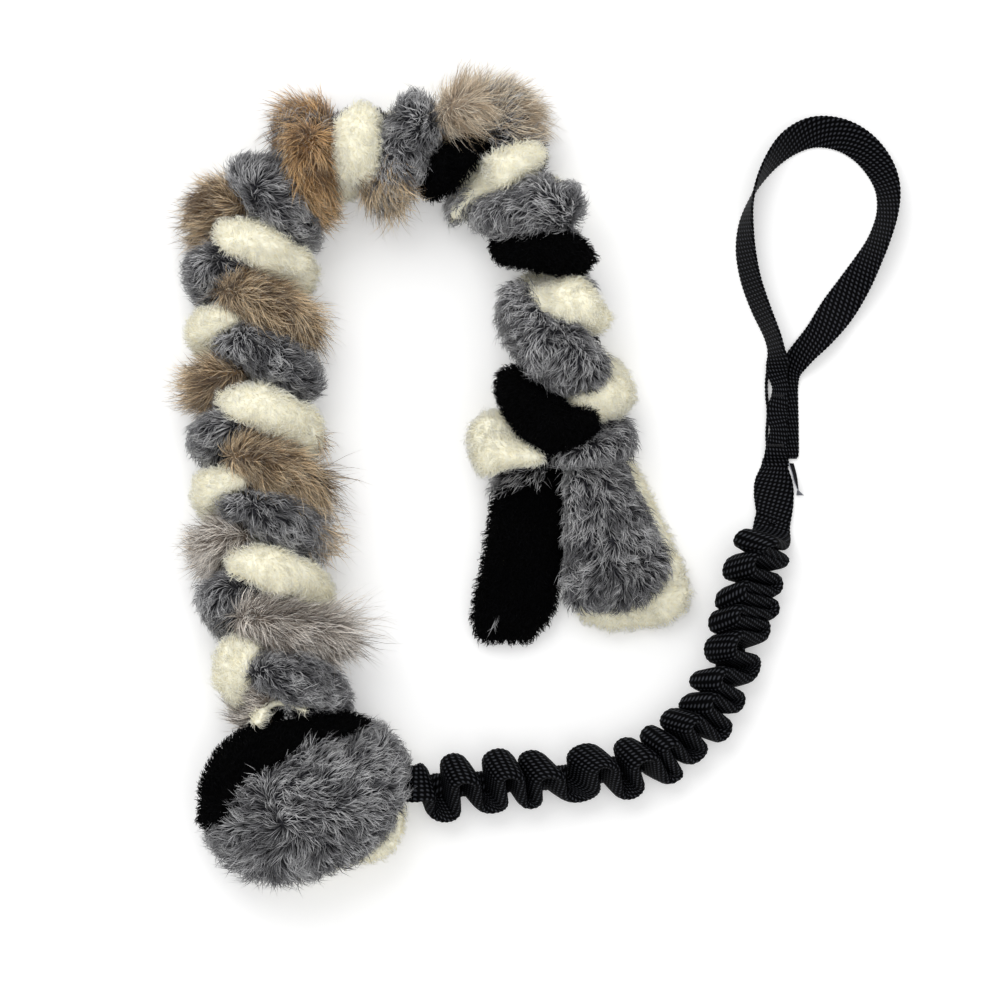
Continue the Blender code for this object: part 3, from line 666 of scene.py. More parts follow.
def loop_frame(s):
    """The strap's frame. It rests on its lower edge, or on the layers under it."""
    x, y, lean, width_share, layers = LOOP.row(s)
    ahead = np.array([*LOOP.heading(s), 0])
    left = np.array([-ahead[1], ahead[0], 0])
    across = left * cos(radians(lean)) + UP * sin(radians(lean))
    folded = np.clip((1 - width_share) / (1 - FOLDED_WIDTH_SHARE), 0, 1) * min(layers, 1)
    thickness = WEBBING_THICKNESS * (1 + FOLDED_SHARE * folded)
    width = WEBBING_WIDTH * width_share
    lowest = abs(across[2]) * width / 2 + abs(cos(radians(lean))) * thickness / 2
    middle = np.array([x, y, layers * WEBBING_THICKNESS + lowest])
    return middle, across, np.cross(ahead, across), width / 2, thickness / 2


loop_frames = [loop_frame(s) for s in np.linspace(0, LOOP.length, 300)]
loop = make_object("webbing_loop", sweep("webbing_loop", loop_frames, (0.3, 0.45)), NYLON)
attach(loop, "handle")
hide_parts("hand_loop")
print(f"loop: {len(loop.data.polygons)} faces")

# %% [markdown]
# ## The folded edge beside the seam
#
# Where the strap is sewn to itself, the upper layer is folded narrower. One edge of it
# stands up along the seam and leaves two narrow slots, through which the ground shows. It
# could be one skin with the loop, but a second small strap keeps both of them plain.

# %% The strap's edge beside the seam
EDGE_PX = (
    (771, 362), (769.7, 370), (768.7, 379), (768.5, 388), (769, 398), (770.2, 408),
    (770, 418), (769.2, 428), (769, 438), (770, 448), (771, 456),
)  # fmt: skip
EDGE_HEIGHT = 0.0036
EDGE_THICKNESS = 0.0020
edge_route = Route([on_table(x, y)[:2] for x, y in EDGE_PX])
edge_frames = []
for s in np.linspace(0, edge_route.length, 60):
    ahead = edge_route.heading(s)
    place = np.array([*edge_route.row(s), EDGE_HEIGHT / 2])
    sideways = np.array([-ahead[1], ahead[0], 0])
    edge_frames.append((place, UP, sideways, EDGE_HEIGHT / 2, EDGE_THICKNESS / 2))
edge = make_object("strap_edge", sweep("strap_edge", edge_frames, (0.4, 0.6)), NYLON)
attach(edge, "handle")
print(f"edge beside the seam: {edge_route.length * 1000:.0f} mm")

# %% [markdown]
# ## The blank label
#
# A satin label is sewn into the neck's side, stands on edge and curls away. It is woven
# black outside and light grey inside, and left blank. It is swept like the straps, and
# the faces that look back at the neck or up get the grey.

# %% Satin
def satin(name, code):
    """Fine warp floats of a woven label, 0.3 mm apart: an even face with soft lines."""
    made, tree, shader = new_material(name, 0.8, Specular_IOR_Level=0.02)
    cloth = add(tree, "ShaderNodeUVMap", uv_map="cloth")
    floats = add(tree, "ShaderNodeTexWave", {0: cloth, "Scale": 1050.0, "Distortion": 0.4})
    faint = add(tree, "ShaderNodeMapRange", {"Value": floats.outputs["Fac"], "To Min": 0.8})
    shade = add(tree, "ShaderNodeHueSaturation", {"Value": faint, "Color": srgb(code)})
    line = {"Strength": 0.4, "Distance": 0.0001, "Height": floats.outputs["Fac"]}
    wear(tree, shader, shade, add(tree, "ShaderNodeBump", line))
    return made


# %% Label
LABEL_PX = (793, 463)  # where it comes out of the seam
LABEL_HEIGHT = 0.009
LABEL_LENGTH = 0.0175
LABEL_THICKNESS = 0.0006
LABEL_LEANS = ((0, -20), (0.5, -17), (0.8, -8), (1, 22))  # degrees, seam to free corner
LABEL_CURL_SHARES = ((0, 0), (0.3, 0.18), (0.45, 0.24), (0.7, 0.35), (0.85, 0.43), (1, 0.56))
label_frames = []
for along in np.linspace(0, 1, 30):
    curl = np.interp(along, *zip(*LABEL_CURL_SHARES)) * LABEL_HEIGHT
    lean = radians(np.interp(along, *zip(*LABEL_LEANS)))
    place = on_table(*LABEL_PX) + np.array([curl, -along * LABEL_LENGTH, LABEL_HEIGHT / 2])
    across = np.array([sin(lean), 0, cos(lean)])
    through = np.array([cos(lean), 0, -sin(lean)])
    label_frames.append((place, across, through, LABEL_HEIGHT / 2, LABEL_THICKNESS / 2))
label = make_object(
    "curled_label",
    sweep("curled_label", label_frames, (0.15, 0.3), rise=0.0, step=0.0006),
    satin("black_satin_label", "#101013"),
    satin("grey_satin_label_back", "#9c9ea6"),
)
inner_faces = [face for face in label.data.polygons if face.normal.x < -0.5 or face.normal.z > 0.6]
for face in inner_faces:
    face.material_index = 1
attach(label, "neck")
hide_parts("label_tab")
print(f"label: {len(inner_faces)} faces of {len(label.data.polygons)} are grey")

# %% [markdown]
# ## The bar tacks
#
# Two bar tacks hold the seam. A machine lays each one as a tight zigzag, so it is a row of
# short thread stitches side by side. One stitch is a small rounded rod, and Geometry Nodes
# repeats it along a line, leaning left and right by turns. The tree's inputs are set by
# the identifiers of their sockets, which never change, before the piece is evaluated.

# %% Trees with named inputs
def new_tree(name, inputs, output):
    """An empty Geometry Nodes tree with its sockets, and what its inputs give."""
    tree = bpy.data.node_groups.new(name, "GeometryNodeTree")
    for socket, kind in inputs:
        tree.interface.new_socket(socket, in_out="INPUT", socket_type=f"NodeSocket{kind}")
    tree.interface.new_socket(output, in_out="OUTPUT", socket_type="NodeSocketGeometry")
    return tree, add(tree, "NodeGroupInput").outputs


def run_tree(piece, tree, values):
    """Puts the tree on the piece as a live modifier."""
    modifier = piece.modifiers.new(tree.name, "NODES")
    modifier.node_group = tree
    for item in tree.interface.items_tree:
        if item.name in values:
            modifier[item.identifier] = values[item.name]


# %% The tree that sews a bar tack
STITCH_INPUTS = (
    ("Start", "Vector"), ("End", "Vector"), ("Stitches", "Int"), ("Stitch size", "Vector"),
    ("Zigzag", "Float"), ("Thread material", "Material"),
)  # fmt: skip


def stitch_tree():
    tree, given = new_tree("bar_tack", STITCH_INPUTS, "Tack")
    line = {"Count": given["Stitches"], "Start Location": given["Start"], "Offset": given["End"]}
    row = add(tree, "GeometryNodeMeshLine", line, mode="END_POINTS")
    rod = add(tree, "GeometryNodeMeshUVSphere", {"Segments": 6, "Rings": 5, "Radius": 1.0})
    index = add(tree, "GeometryNodeInputIndex")
    odd = add(tree, MATH, {0: index, 1: 2.0}, operation="MODULO")
    side = add(tree, MATH, {0: odd, 1: 2.0, 2: -1.0}, operation="MULTIPLY_ADD")
    turn = add(tree, MATH, {0: side, 1: given["Zigzag"]}, operation="MULTIPLY")
    spin = add(tree, "ShaderNodeCombineXYZ", {2: turn})
    each = {"Points": row, "Instance": rod, "Rotation": spin, "Scale": given["Stitch size"]}
    laid = add(tree, "GeometryNodeInstanceOnPoints", each)
    real = add(tree, "GeometryNodeRealizeInstances", {0: laid})
    smooth = add(tree, "GeometryNodeSetShadeSmooth", {0: real})
    thread = {"Geometry": smooth, "Material": given["Thread material"]}
    add(tree, "NodeGroupOutput", {0: add(tree, "GeometryNodeSetMaterial", thread)})
    return tree


STITCHES = stitch_tree()
print(f"stitch tree: {len(STITCHES.nodes)} nodes")


# %% Sewing thread
def sewing_thread():
    """Bonded polyester, twisted every 0.7 mm: black with a small dull shine a stitch."""
    made, tree, shader = new_material("bonded_polyester_thread", 0.4, Specular_IOR_Level=0.3)
    place = add(tree, "ShaderNodeTexCoord").outputs["Object"]
    strands = {0: place, "Scale": 900.0}
    twist = add(tree, "ShaderNodeTexWave", strands, bands_direction="DIAGONAL")
    tint = add(tree, "ShaderNodeValToRGB", {0: twist.outputs["Fac"]})
    set_stops(tint, (0, "#08080a"), (1, "#1e1e22"))
    wear(tree, shader, tint)
    return made


THREAD = sewing_thread()
print("material:", THREAD.name)

# %% The two bar tacks
STITCH_PITCH = 0.00045
THREAD_RADIUS = 0.00024
TACK_LENGTH = 0.0018
ZIGZAG = 0.16  # radians that a stitch leans
TACKS_LEFT_PX = {"upper_bar_tack": 774, "lower_bar_tack": 768}
for node, left_px in TACKS_LEFT_PX.items():
    low, high = (np.array(corner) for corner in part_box(node))
    low[0] = on_table(left_px, 0)[0]
    middle_y, base = (low[1] + high[1]) / 2, low[2]
    stitches = round((high[0] - low[0]) / STITCH_PITCH)
    tack = make_object(f"{node}_stitches", bpy.data.meshes.new(f"{node}_stitches"))
    sizes = {
        "Start": (low[0], middle_y, base),
        "End": (high[0], middle_y, base),
        "Stitches": stitches,
        "Stitch size": (THREAD_RADIUS, TACK_LENGTH / 2, THREAD_RADIUS),
        "Zigzag": ZIGZAG,
        "Thread material": THREAD,
    }
    run_tree(tack, STITCHES, sizes)
    freeze(tack)
    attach(tack, "handle")
    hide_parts(node)
    print(f"{node}: {stitches} stitches")

# %% [markdown]
# ## Wool and fur as real strands
#
# Sheepskin and rabbit fur are seen as strands, not as a surface. A hair system would be
# lost when the model is exported, so the strands here are thin three-sided cones that
# Geometry Nodes plants on an even copy of each solid. Each strand leaves the hide along
# its normal, bends over towards the way that the fleece is combed, curls, and leans to the
# middle of its lock, which opens the dark gaps between locks that make wool look like wool.

# %% What a pile is given
PILE_INPUTS = (
    ("Hide", "Geometry"), ("Strands per m2", "Float"), ("Length", "Float"),
    ("Length variation", "Float"), ("Strand radius", "Float"), ("Lean", "Float"),
    ("Bend", "Float"), ("Wander", "Float"), ("Curl radius", "Float"), ("Curls", "Float"),
    ("Lock size", "Float"), ("Lock pull", "Float"), ("Lock turn", "Float"),
    ("Lock lift", "Float"), ("Segments", "Int"), ("Seed", "Int"),
    ("Strand material", "Material"),
)  # fmt: skip
# What the tree reads at each vertex of a strand
STRAND_READS = (
    ("root", "FLOAT_VECTOR"), ("up", "FLOAT_VECTOR"), ("stray", "FLOAT_VECTOR"),
    ("fibre", "FLOAT_VECTOR"), ("comb", "FLOAT_VECTOR"), ("chance", "FLOAT"),
    ("long", "FLOAT"), ("room", "FLOAT"),
)  # fmt: skip
NAMED, STORE = "GeometryNodeInputNamedAttribute", "GeometryNodeStoreNamedAttribute"
print(f"a pile has {len(PILE_INPUTS)} inputs")

# %% [markdown]
# ### Planting
#
# Each root keeps its place, its normal and its own chances as attributes, because after
# Realize Instances nothing else says which strand a vertex belongs to. Neighbours share
# part of their chance, so that wool has wisps of one tone, as it has on the real fleece.

# %% Plant the strands
WISP_FINENESS = 0.45  # wisps to a lock's width
WISP_SHARE = 0.55  # of a strand's chance that its whole wisp shares


def plant(tree, given):
    """Roots on the hide, each with its own chances, and a thin cone on each root."""
    grow = add(tree, NAMED, {"Name": "grow"}, data_type="FLOAT")
    density = add(tree, MATH, {0: given["Strands per m2"], 1: grow}, operation="MULTIPLY")
    hide = {"Mesh": given["Hide"], "Density": density, "Seed": given["Seed"]}
    roots = add(tree, "GeometryNodeDistributePointsOnFaces", hide, distribute_method="RANDOM")
    place = add(tree, "GeometryNodeInputPosition")
    span = {0: (-1, -1, -1), 1: (1, 1, 1), "Seed": given["Seed"]}
    stray = add(tree, "FunctionNodeRandomValue", span, data_type="FLOAT_VECTOR")
    own_chance = add(tree, "FunctionNodeRandomValue", {"Seed": given["Seed"]}, data_type="FLOAT")
    wisps = add(tree, MATH, {0: WISP_FINENESS, 1: given["Lock size"]}, operation="DIVIDE")
    wisps = add(tree, "ShaderNodeTexVoronoi", {"Vector": place, "Scale": wisps})
    wisps = add(tree, "ShaderNodeSeparateXYZ", {0: wisps.outputs["Color"]})
    shared = {0: WISP_SHARE, 2: own_chance.outputs[1], 3: wisps.outputs[2]}
    chance = add(tree, "ShaderNodeMix", shared).outputs[0]
    stored = roots
    for name, kind, value in (
        ("root", "FLOAT_VECTOR", place),
        ("up", "FLOAT_VECTOR", roots.outputs["Normal"]),
        ("stray", "FLOAT_VECTOR", stray),
        ("chance", "FLOAT", chance),
    ):
        kept = {"Geometry": stored, "Name": name, "Value": value}
        stored = add(tree, STORE, kept, data_type=kind, domain="POINT")
    sizes = {"Vertices": 3, "Side Segments": given["Segments"], "Radius Top": 0.0,
             "Radius Bottom": 1.0, "Depth": 1.0}  # fmt: skip
    cone = add(tree, "GeometryNodeMeshCone", sizes, fill_type="NONE")
    own_place = {"Geometry": cone, "Name": "fibre", "Value": place}
    strand = add(tree, STORE, own_place, data_type="FLOAT_VECTOR", domain="POINT")
    planted = add(tree, "GeometryNodeInstanceOnPoints", {"Points": stored, "Instance": strand})
    return add(tree, "GeometryNodeRealizeInstances", {0: planted})


# %% [markdown]
# ### Locks and bends
#
# Wool stands in locks. A Voronoi pattern gives each lock a middle that its strands lean
# to, and chances that they share, so that whole locks lie and rise together. A strand is
# an arc: it leaves the hide at its lean and bends over by a given angle to its tip.

# %% The lock that a strand belongs to
def find_lock(tree, given, root):
    """The lock's middle, and two chances from -1 to 1 that its strands share."""
    fineness = add(tree, MATH, {0: 1.0, 1: given["Lock size"]}, operation="DIVIDE")
    locks = add(tree, "ShaderNodeTexVoronoi", {"Vector": root, "Scale": fineness})
    cell = add(tree, "ShaderNodeSeparateXYZ", {0: locks.outputs["Color"]})
    side, rise = (
        add(tree, MATH, {0: cell.outputs[i], 1: 2.0, 2: -1.0}, operation="MULTIPLY_ADD")
        for i in (0, 1)
    )
    return locks.outputs["Position"], side, rise


# %% How a strand bends
LEAN_SPREAD = 0.22  # radians
BEND_SPREAD = 0.3


def bend_strand(tree, given, read, random, along, lock_rise):
    """How far the strand rises and sweeps out at a vertex, and its direction there."""
    varied = {0: random.outputs[0], 1: given["Length variation"], 2: 1.0}
    lifted = {0: lock_rise, 1: given["Lock lift"], 2: 1.0}
    length = add(tree, MATH, varied, operation="MULTIPLY_ADD")
    lock_long = add(tree, MATH, lifted, operation="MULTIPLY_ADD")
    for share in (read["long"], lock_long, given["Length"]):
        length = add(tree, MATH, {0: length, 1: share}, operation="MULTIPLY")
    spread = {0: random.outputs[1], 1: LEAN_SPREAD, 2: given["Lean"]}
    lean = add(tree, MATH, spread, operation="MULTIPLY_ADD")
    spread = {0: random.outputs[2], 1: BEND_SPREAD, 2: 1.0}
    softer = add(tree, MATH, spread, operation="MULTIPLY_ADD")
    bend = add(tree, MATH, {0: softer, 1: given["Bend"]}, operation="MULTIPLY")
    angle = add(tree, MATH, {0: bend, 1: along, 2: lean}, operation="MULTIPLY_ADD")
    sine, cosine, first_sine, first_cosine = (
        add(tree, MATH, {0: turn}, operation=kind)
        for turn in (angle, lean)
        for kind in ("SINE", "COSINE")
    )
    radius = add(tree, MATH, {0: length, 1: bend}, operation="DIVIDE")
    risen = add(tree, MATH, {0: sine, 1: first_sine}, operation="SUBTRACT")
    swept = add(tree, MATH, {0: first_cosine, 1: cosine}, operation="SUBTRACT")
    rise = add(tree, MATH, {0: risen, 1: radius}, operation="MULTIPLY")
    sweep_out = add(tree, MATH, {0: swept, 1: radius}, operation="MULTIPLY")
    return rise, sweep_out, sine, cosine


# %% [markdown]
# ### The ways on the hide
#
# A strand needs three ways: the hide's normal, the way that it is combed, laid flat on
# the hide, and the side between them. Each lock is turned a little as a whole, and each
# strand strays a little from its lock.

# %% The three ways of a strand
def laid_flat(tree, way, up):
    """What is left of a way without its part along the normal."""
    lift = add(tree, VECTOR, {0: way, 1: up}, operation="DOT_PRODUCT")
    above = add(tree, VECTOR, {0: up, 3: lift.outputs[1]}, operation="SCALE")
    return add(tree, VECTOR, {0: way, 1: above}, operation="SUBTRACT")


def find_ways(tree, given, read, random, lock_side):
    """The hide's normal, the way that the strand lies, and the side of it."""
    up = add(tree, VECTOR, {0: read["up"]}, operation="NORMALIZE")
    combed = add(tree, VECTOR, {0: laid_flat(tree, read["comb"], up)}, operation="NORMALIZE")
    beside = add(tree, VECTOR, {0: up, 1: combed}, operation="CROSS_PRODUCT")
    astray = add(tree, MATH, {0: random.outputs[2], 1: given["Wander"]}, operation="MULTIPLY")
    turning = {0: lock_side, 1: given["Lock turn"], 2: astray}
    turned = add(tree, MATH, turning, operation="MULTIPLY_ADD")
    turned_cosine = add(tree, MATH, {0: turned}, operation="COSINE")
    turned_sine = add(tree, MATH, {0: turned}, operation="SINE")
    forward = add(tree, VECTOR, {0: combed, 3: turned_cosine}, operation="SCALE")
    sideways = add(tree, VECTOR, {0: beside, 3: turned_sine}, operation="SCALE")
    ahead = add(tree, VECTOR, {0: forward, 1: sideways}, operation="ADD")
    side = add(tree, VECTOR, {0: up, 1: ahead}, operation="CROSS_PRODUCT")
    return up, ahead, side


# %% Curl and thickness
TIP_FULLNESS = 1.2  # keeps the strand from thinning too soon towards its tip


def curl_strand(tree, given, read, fibre, sine, cosine):
    """What curl and thickness add to the side, upwards, upwards again and backwards."""
    along = fibre.outputs[2]
    winding = {0: along, 1: given["Curls"], 2: read["chance"]}
    wound = add(tree, MATH, winding, operation="MULTIPLY_ADD")
    turn = add(tree, MATH, {0: wound, 1: 2 * pi}, operation="MULTIPLY")
    curl = add(tree, MATH, {0: given["Curl radius"], 1: along}, operation="MULTIPLY")
    fuller = add(tree, MATH, {0: along, 1: TIP_FULLNESS, 2: 1.0}, operation="MULTIPLY_ADD")
    thick = add(tree, MATH, {0: fuller, 1: given["Strand radius"]}, operation="MULTIPLY")
    turn_sine = add(tree, MATH, {0: turn}, operation="SINE")
    turn_cosine = add(tree, MATH, {0: turn}, operation="COSINE")
    curl_side, curl_up, wide, deep = (
        add(tree, MATH, {0: share, 1: size}, operation="MULTIPLY")
        for share, size in (
            (turn_sine, curl),
            (turn_cosine, curl),
            (fibre.outputs[0], thick),
            (fibre.outputs[1], thick),
        )
    )
    to_side = add(tree, MATH, {0: curl_side, 1: wide}, operation="ADD")
    deep_up = add(tree, MATH, {0: deep, 1: sine}, operation="MULTIPLY")
    deep_back = add(tree, MATH, {0: deep, 1: cosine}, operation="MULTIPLY")
    return to_side, curl_up, deep_up, deep_back


# %% [markdown]
# ### The whole pile
#
# Now the parts are added up. Smooth limits keep the pile under what lies over it and under
# its crown, so that it looks pressed there and not cut off. A plain one keeps it over the
# table, where nobody sees the cut.

# %% Where each vertex of a strand goes
PILE_CROWN = 0.0685  # the height that the pile stays under
CROWN_EASE = 0.004
ROOM_EASE = 0.002
PILE_FLOOR = 0.0003


def shape_strand(tree, given, read):
    """The place of a vertex: its root, and what each of the strand's ways adds."""
    fibre = add(tree, "ShaderNodeSeparateXYZ", {0: read["fibre"]})
    random = add(tree, "ShaderNodeSeparateXYZ", {0: read["stray"]})
    along, root = fibre.outputs[2], read["root"]
    lock, lock_side, lock_rise = find_lock(tree, given, root)
    rise, sweep_out, sine, cosine = bend_strand(tree, given, read, random, along, lock_rise)
    up, ahead, side = find_ways(tree, given, read, random, lock_side)
    to_side, curl_up, deep_up, deep_back = curl_strand(tree, given, read, fibre, sine, cosine)
    to_lock = add(tree, VECTOR, {0: lock, 1: root}, operation="SUBTRACT")
    to_lock = laid_flat(tree, to_lock, up)
    pull = add(tree, MATH, {0: along, 1: given["Lock pull"]}, operation="MULTIPLY")
    to_up = add(tree, MATH, {0: rise, 1: curl_up}, operation="ADD")
    to_up = add(tree, MATH, {0: to_up, 1: deep_up}, operation="ADD")
    to_up = add(tree, MATH, {0: to_up, 1: read["room"], 2: ROOM_EASE}, operation="SMOOTH_MIN")
    to_ahead = add(tree, MATH, {0: sweep_out, 1: deep_back}, operation="SUBTRACT")
    moved = root
    for way, amount in ((side, to_side), (up, to_up), (ahead, to_ahead), (to_lock, pull)):
        part = add(tree, VECTOR, {0: way, 3: amount}, operation="SCALE")
        moved = add(tree, VECTOR, {0: moved, 1: part}, operation="ADD")
    placed = add(tree, "ShaderNodeSeparateXYZ", {0: moved})
    under = {0: placed.outputs[2], 1: PILE_CROWN, 2: CROWN_EASE}
    low = add(tree, MATH, under, operation="SMOOTH_MIN")
    over = add(tree, MATH, {0: low, 1: PILE_FLOOR}, operation="MAXIMUM")
    return add(tree, "ShaderNodeCombineXYZ", {0: placed.outputs[0], 1: placed.outputs[1], 2: over})


# %% The tree that grows a pile
def pile_tree():
    """The hide and its strands. These get no growth, so a second layer keeps to the hide."""
    tree, given = new_tree("pile", PILE_INPUTS, "Piece")
    strands = plant(tree, given)
    read = {name: add(tree, NAMED, {"Name": name}, data_type=kind) for name, kind in STRAND_READS}
    place = shape_strand(tree, given, read)
    shaped = add(tree, "GeometryNodeSetPosition", {"Geometry": strands, "Position": place})
    along = add(tree, "ShaderNodeSeparateXYZ", {0: read["fibre"]}).outputs[2]
    for name, value in (("along", along), ("grow", 0.0)):
        kept = {"Geometry": shaped, "Name": name, "Value": value}
        shaped = add(tree, STORE, kept, data_type="FLOAT", domain="POINT")
    finish = {"Geometry": shaped, "Material": given["Strand material"]}
    dressed = add(tree, "GeometryNodeSetMaterial", finish)
    joined = add(tree, "GeometryNodeJoinGeometry")
    tree.links.new(given["Hide"], joined.inputs[0])
    tree.links.new(dressed.outputs[0], joined.inputs[0])
    smooth = add(tree, "GeometryNodeSetShadeSmooth", {"Geometry": joined})
    add(tree, "NodeGroupOutput", {0: smooth})
    return tree


PILE = pile_tree()
print(f"pile tree: {len(PILE.nodes)} nodes")

# %% [markdown]
# ## Strand materials
#
# A strand is painted dark at its root, as painted shade from the others over it, and is
# lightest at its tip. No two strands have the same tone. Both facts are kept on the mesh
# as attributes, so one material serves a whole fleece. Wool is matt with a soft sheen, and
# rabbit guard hair is smoother and has banded tips.

# %% The material of a strand
SORTS_FROM, SORTS_TO = 0.35, 0.6  # chances between which one sort passes into the other
TONE_TURNS = 7.0  # of the chance, so that strands of one wisp still differ in tone


def strand_material(name, stops, others, roughness, tone=0.3, sheen=0.25, gloss=0.2):
    """Two sorts of strand from root to tip, each strand a little lighter or darker."""
    made, tree, shader = new_material(name, roughness, Sheen_Weight=sheen, Specular_IOR_Level=gloss)
    facts = [add(tree, "ShaderNodeAttribute", attribute_type="GEOMETRY") for _ in range(2)]
    facts[0].attribute_name, facts[1].attribute_name = "along", "chance"
    along, chance = (fact.outputs["Fac"] for fact in facts)
    sorts = {"Value": chance, "From Min": SORTS_FROM, "From Max": SORTS_TO}
    sort = add(tree, "ShaderNodeMapRange", sorts)
    # Each ramp starts dark at the root: painted shade from the strands over it
    ramps = [add(tree, "ShaderNodeValToRGB", {0: along}) for _ in range(2)]
    set_stops(ramps[0], *stops)
    set_stops(ramps[1], *others)
    colours = {"Factor": sort, 6: ramps[0], 7: ramps[1]}
    colour = add(tree, "ShaderNodeMix", colours, data_type="RGBA").outputs[2]
    many = add(tree, MATH, {0: chance, 1: TONE_TURNS}, operation="MULTIPLY")
    again = add(tree, MATH, {0: many}, operation="FRACT")
    spread = {"Value": again, "To Min": 1 - tone, "To Max": 1 + tone}
    toned = {"Value": add(tree, "ShaderNodeMapRange", spread), "Color": colour}
    wear(tree, shader, add(tree, "ShaderNodeHueSaturation", toned))
    return made


# %% The material of the hide under the strands
def hide_material(name, dark, light):
    """Dense underwool in clumps of 2.5 mm: a matt ground that shows between the strands."""
    made, tree, shader = new_material(name, 0.95, Specular_IOR_Level=0.05)
    place = add(tree, "ShaderNodeTexCoord").outputs["Object"]
    clumps = add(tree, "ShaderNodeTexNoise", {"Vector": place, "Scale": 400.0, "Detail": 3.0})
    ramp = add(tree, "ShaderNodeValToRGB", {0: clumps.outputs["Fac"]})
    rough = {"Strength": 0.7, "Distance": 0.001, "Height": clumps.outputs["Fac"]}
    set_stops(ramp, (0.3, dark), (0.7, light))
    wear(tree, shader, ramp, add(tree, "ShaderNodeBump", rough))
    return made


# %% Rabbit hair
HAIR_BANDS = (0.0, 0.4, 0.7, 1.0)  # from root to tip
PALE_HAIR_BANDS = (0.0, 0.45, 0.75, 1.0)


def rabbit_hair(colour, banded, pale):
    """Tanned with its own colours: sleek, with a darker band, a pale tip and a low shine."""
    sorts = tuple(zip(HAIR_BANDS, banded)), tuple(zip(PALE_HAIR_BANDS, pale))
    return strand_material(f"{colour}_rabbit_fur", *sorts, 0.5, tone=0.4)


# %% Wool and fur
MATERIALS = {
    # Dyed sheepskin wool: matt, dark crimps among nearly white ones, so it looks salted.
    # The near-black roots are painted shade
    "grey_wool": strand_material(
        "grey_dyed_wool",
        ((0.0, "#101012"), (0.45, "#4c4c50"), (1.0, "#949496")),
        ((0.0, "#1a1a1c"), (0.45, "#a0a0a2"), (1.0, "#ffffff")),
        0.8, tone=0.4,
    ),
    # Undyed wool: light passes from fibre to fibre, so its shadows stay warm and pale
    "cream_wool": strand_material(
        "natural_cream_wool",
        ((0.0, "#fff8da"), (0.5, "#fffdec"), (1.0, "#fffff6")),
        ((0.0, "#fdf4d0"), (0.5, "#fffbe4"), (1.0, "#fffef0")),
        0.8, tone=0.02, sheen=1.0,
    ),
    # Black dyed wool: it takes all light, and only the tips of its locks show a little
    "black_wool": strand_material(
        "black_dyed_wool",
        ((0.0, "#010101"), (0.5, "#020203"), (1.0, "#050506")),
        ((0.0, "#010101"), (0.5, "#040405"), (1.0, "#101114")),
        0.95, sheen=0.0, gloss=0.06,
    ),
    "grey_fur": rabbit_hair(
        "grey",
        ("#4c443e", "#94887c", "#5c5248", "#d8ccbe"),
        ("#a89c92", "#f0e8de", "#fbf4ec", "#ffffff"),
    ),
    "brown_fur": rabbit_hair(
        "brown",
        ("#3e342a", "#7c6244", "#463422", "#c09a68"),
        ("#92826e", "#dec29a", "#f2dcb8", "#fffdf4"),
    ),
    "rust_fur": rabbit_hair(
        "rust",
        ("#4c3a2a", "#8c683e", "#523820", "#c8985c"),
        ("#90785c", "#e0b47c", "#f0cc98", "#fff8e6"),
    ),
    "beige_fur": rabbit_hair(
        "beige",
        ("#8c7e70", "#cab498", "#a08a6e", "#ecd8b6"),
        ("#c6baac", "#fbecd2", "#fff4e0", "#ffffff"),
    ),
}
HIDES = {
    # Its near-black colour is painted shade, for the dark gaps between the locks
    "grey_wool": hide_material("grey_underwool_painted_shade", "#121214", "#333338"),
    "cream_wool": hide_material("cream_underwool", "#fffae0", "#fffdec"),
    "black_wool": hide_material("black_underwool", "#010101", "#030304"),
    "grey_fur": hide_material("grey_rabbit_underfur", "#4a433d", "#82776c"),
    "brown_fur": hide_material("brown_rabbit_underfur", "#4c4035", "#8c7458"),
    "rust_fur": hide_material("rust_rabbit_underfur", "#553f2d", "#94704a"),
    "beige_fur": hide_material("beige_rabbit_underfur", "#84786c", "#c0ac94"),
}
print("finishes:", ", ".join(m.name for m in MATERIALS.values()))

# %% [markdown]
# ## Which way the pile lies
#
# Fleece lies every way, and no rule gives it. The directions were read off the picture, a
# few for each patch, as a place and a heading in degrees from the right, turning left.
# Between them the heading is blended by distance, and a slow noise turns it into swirls.

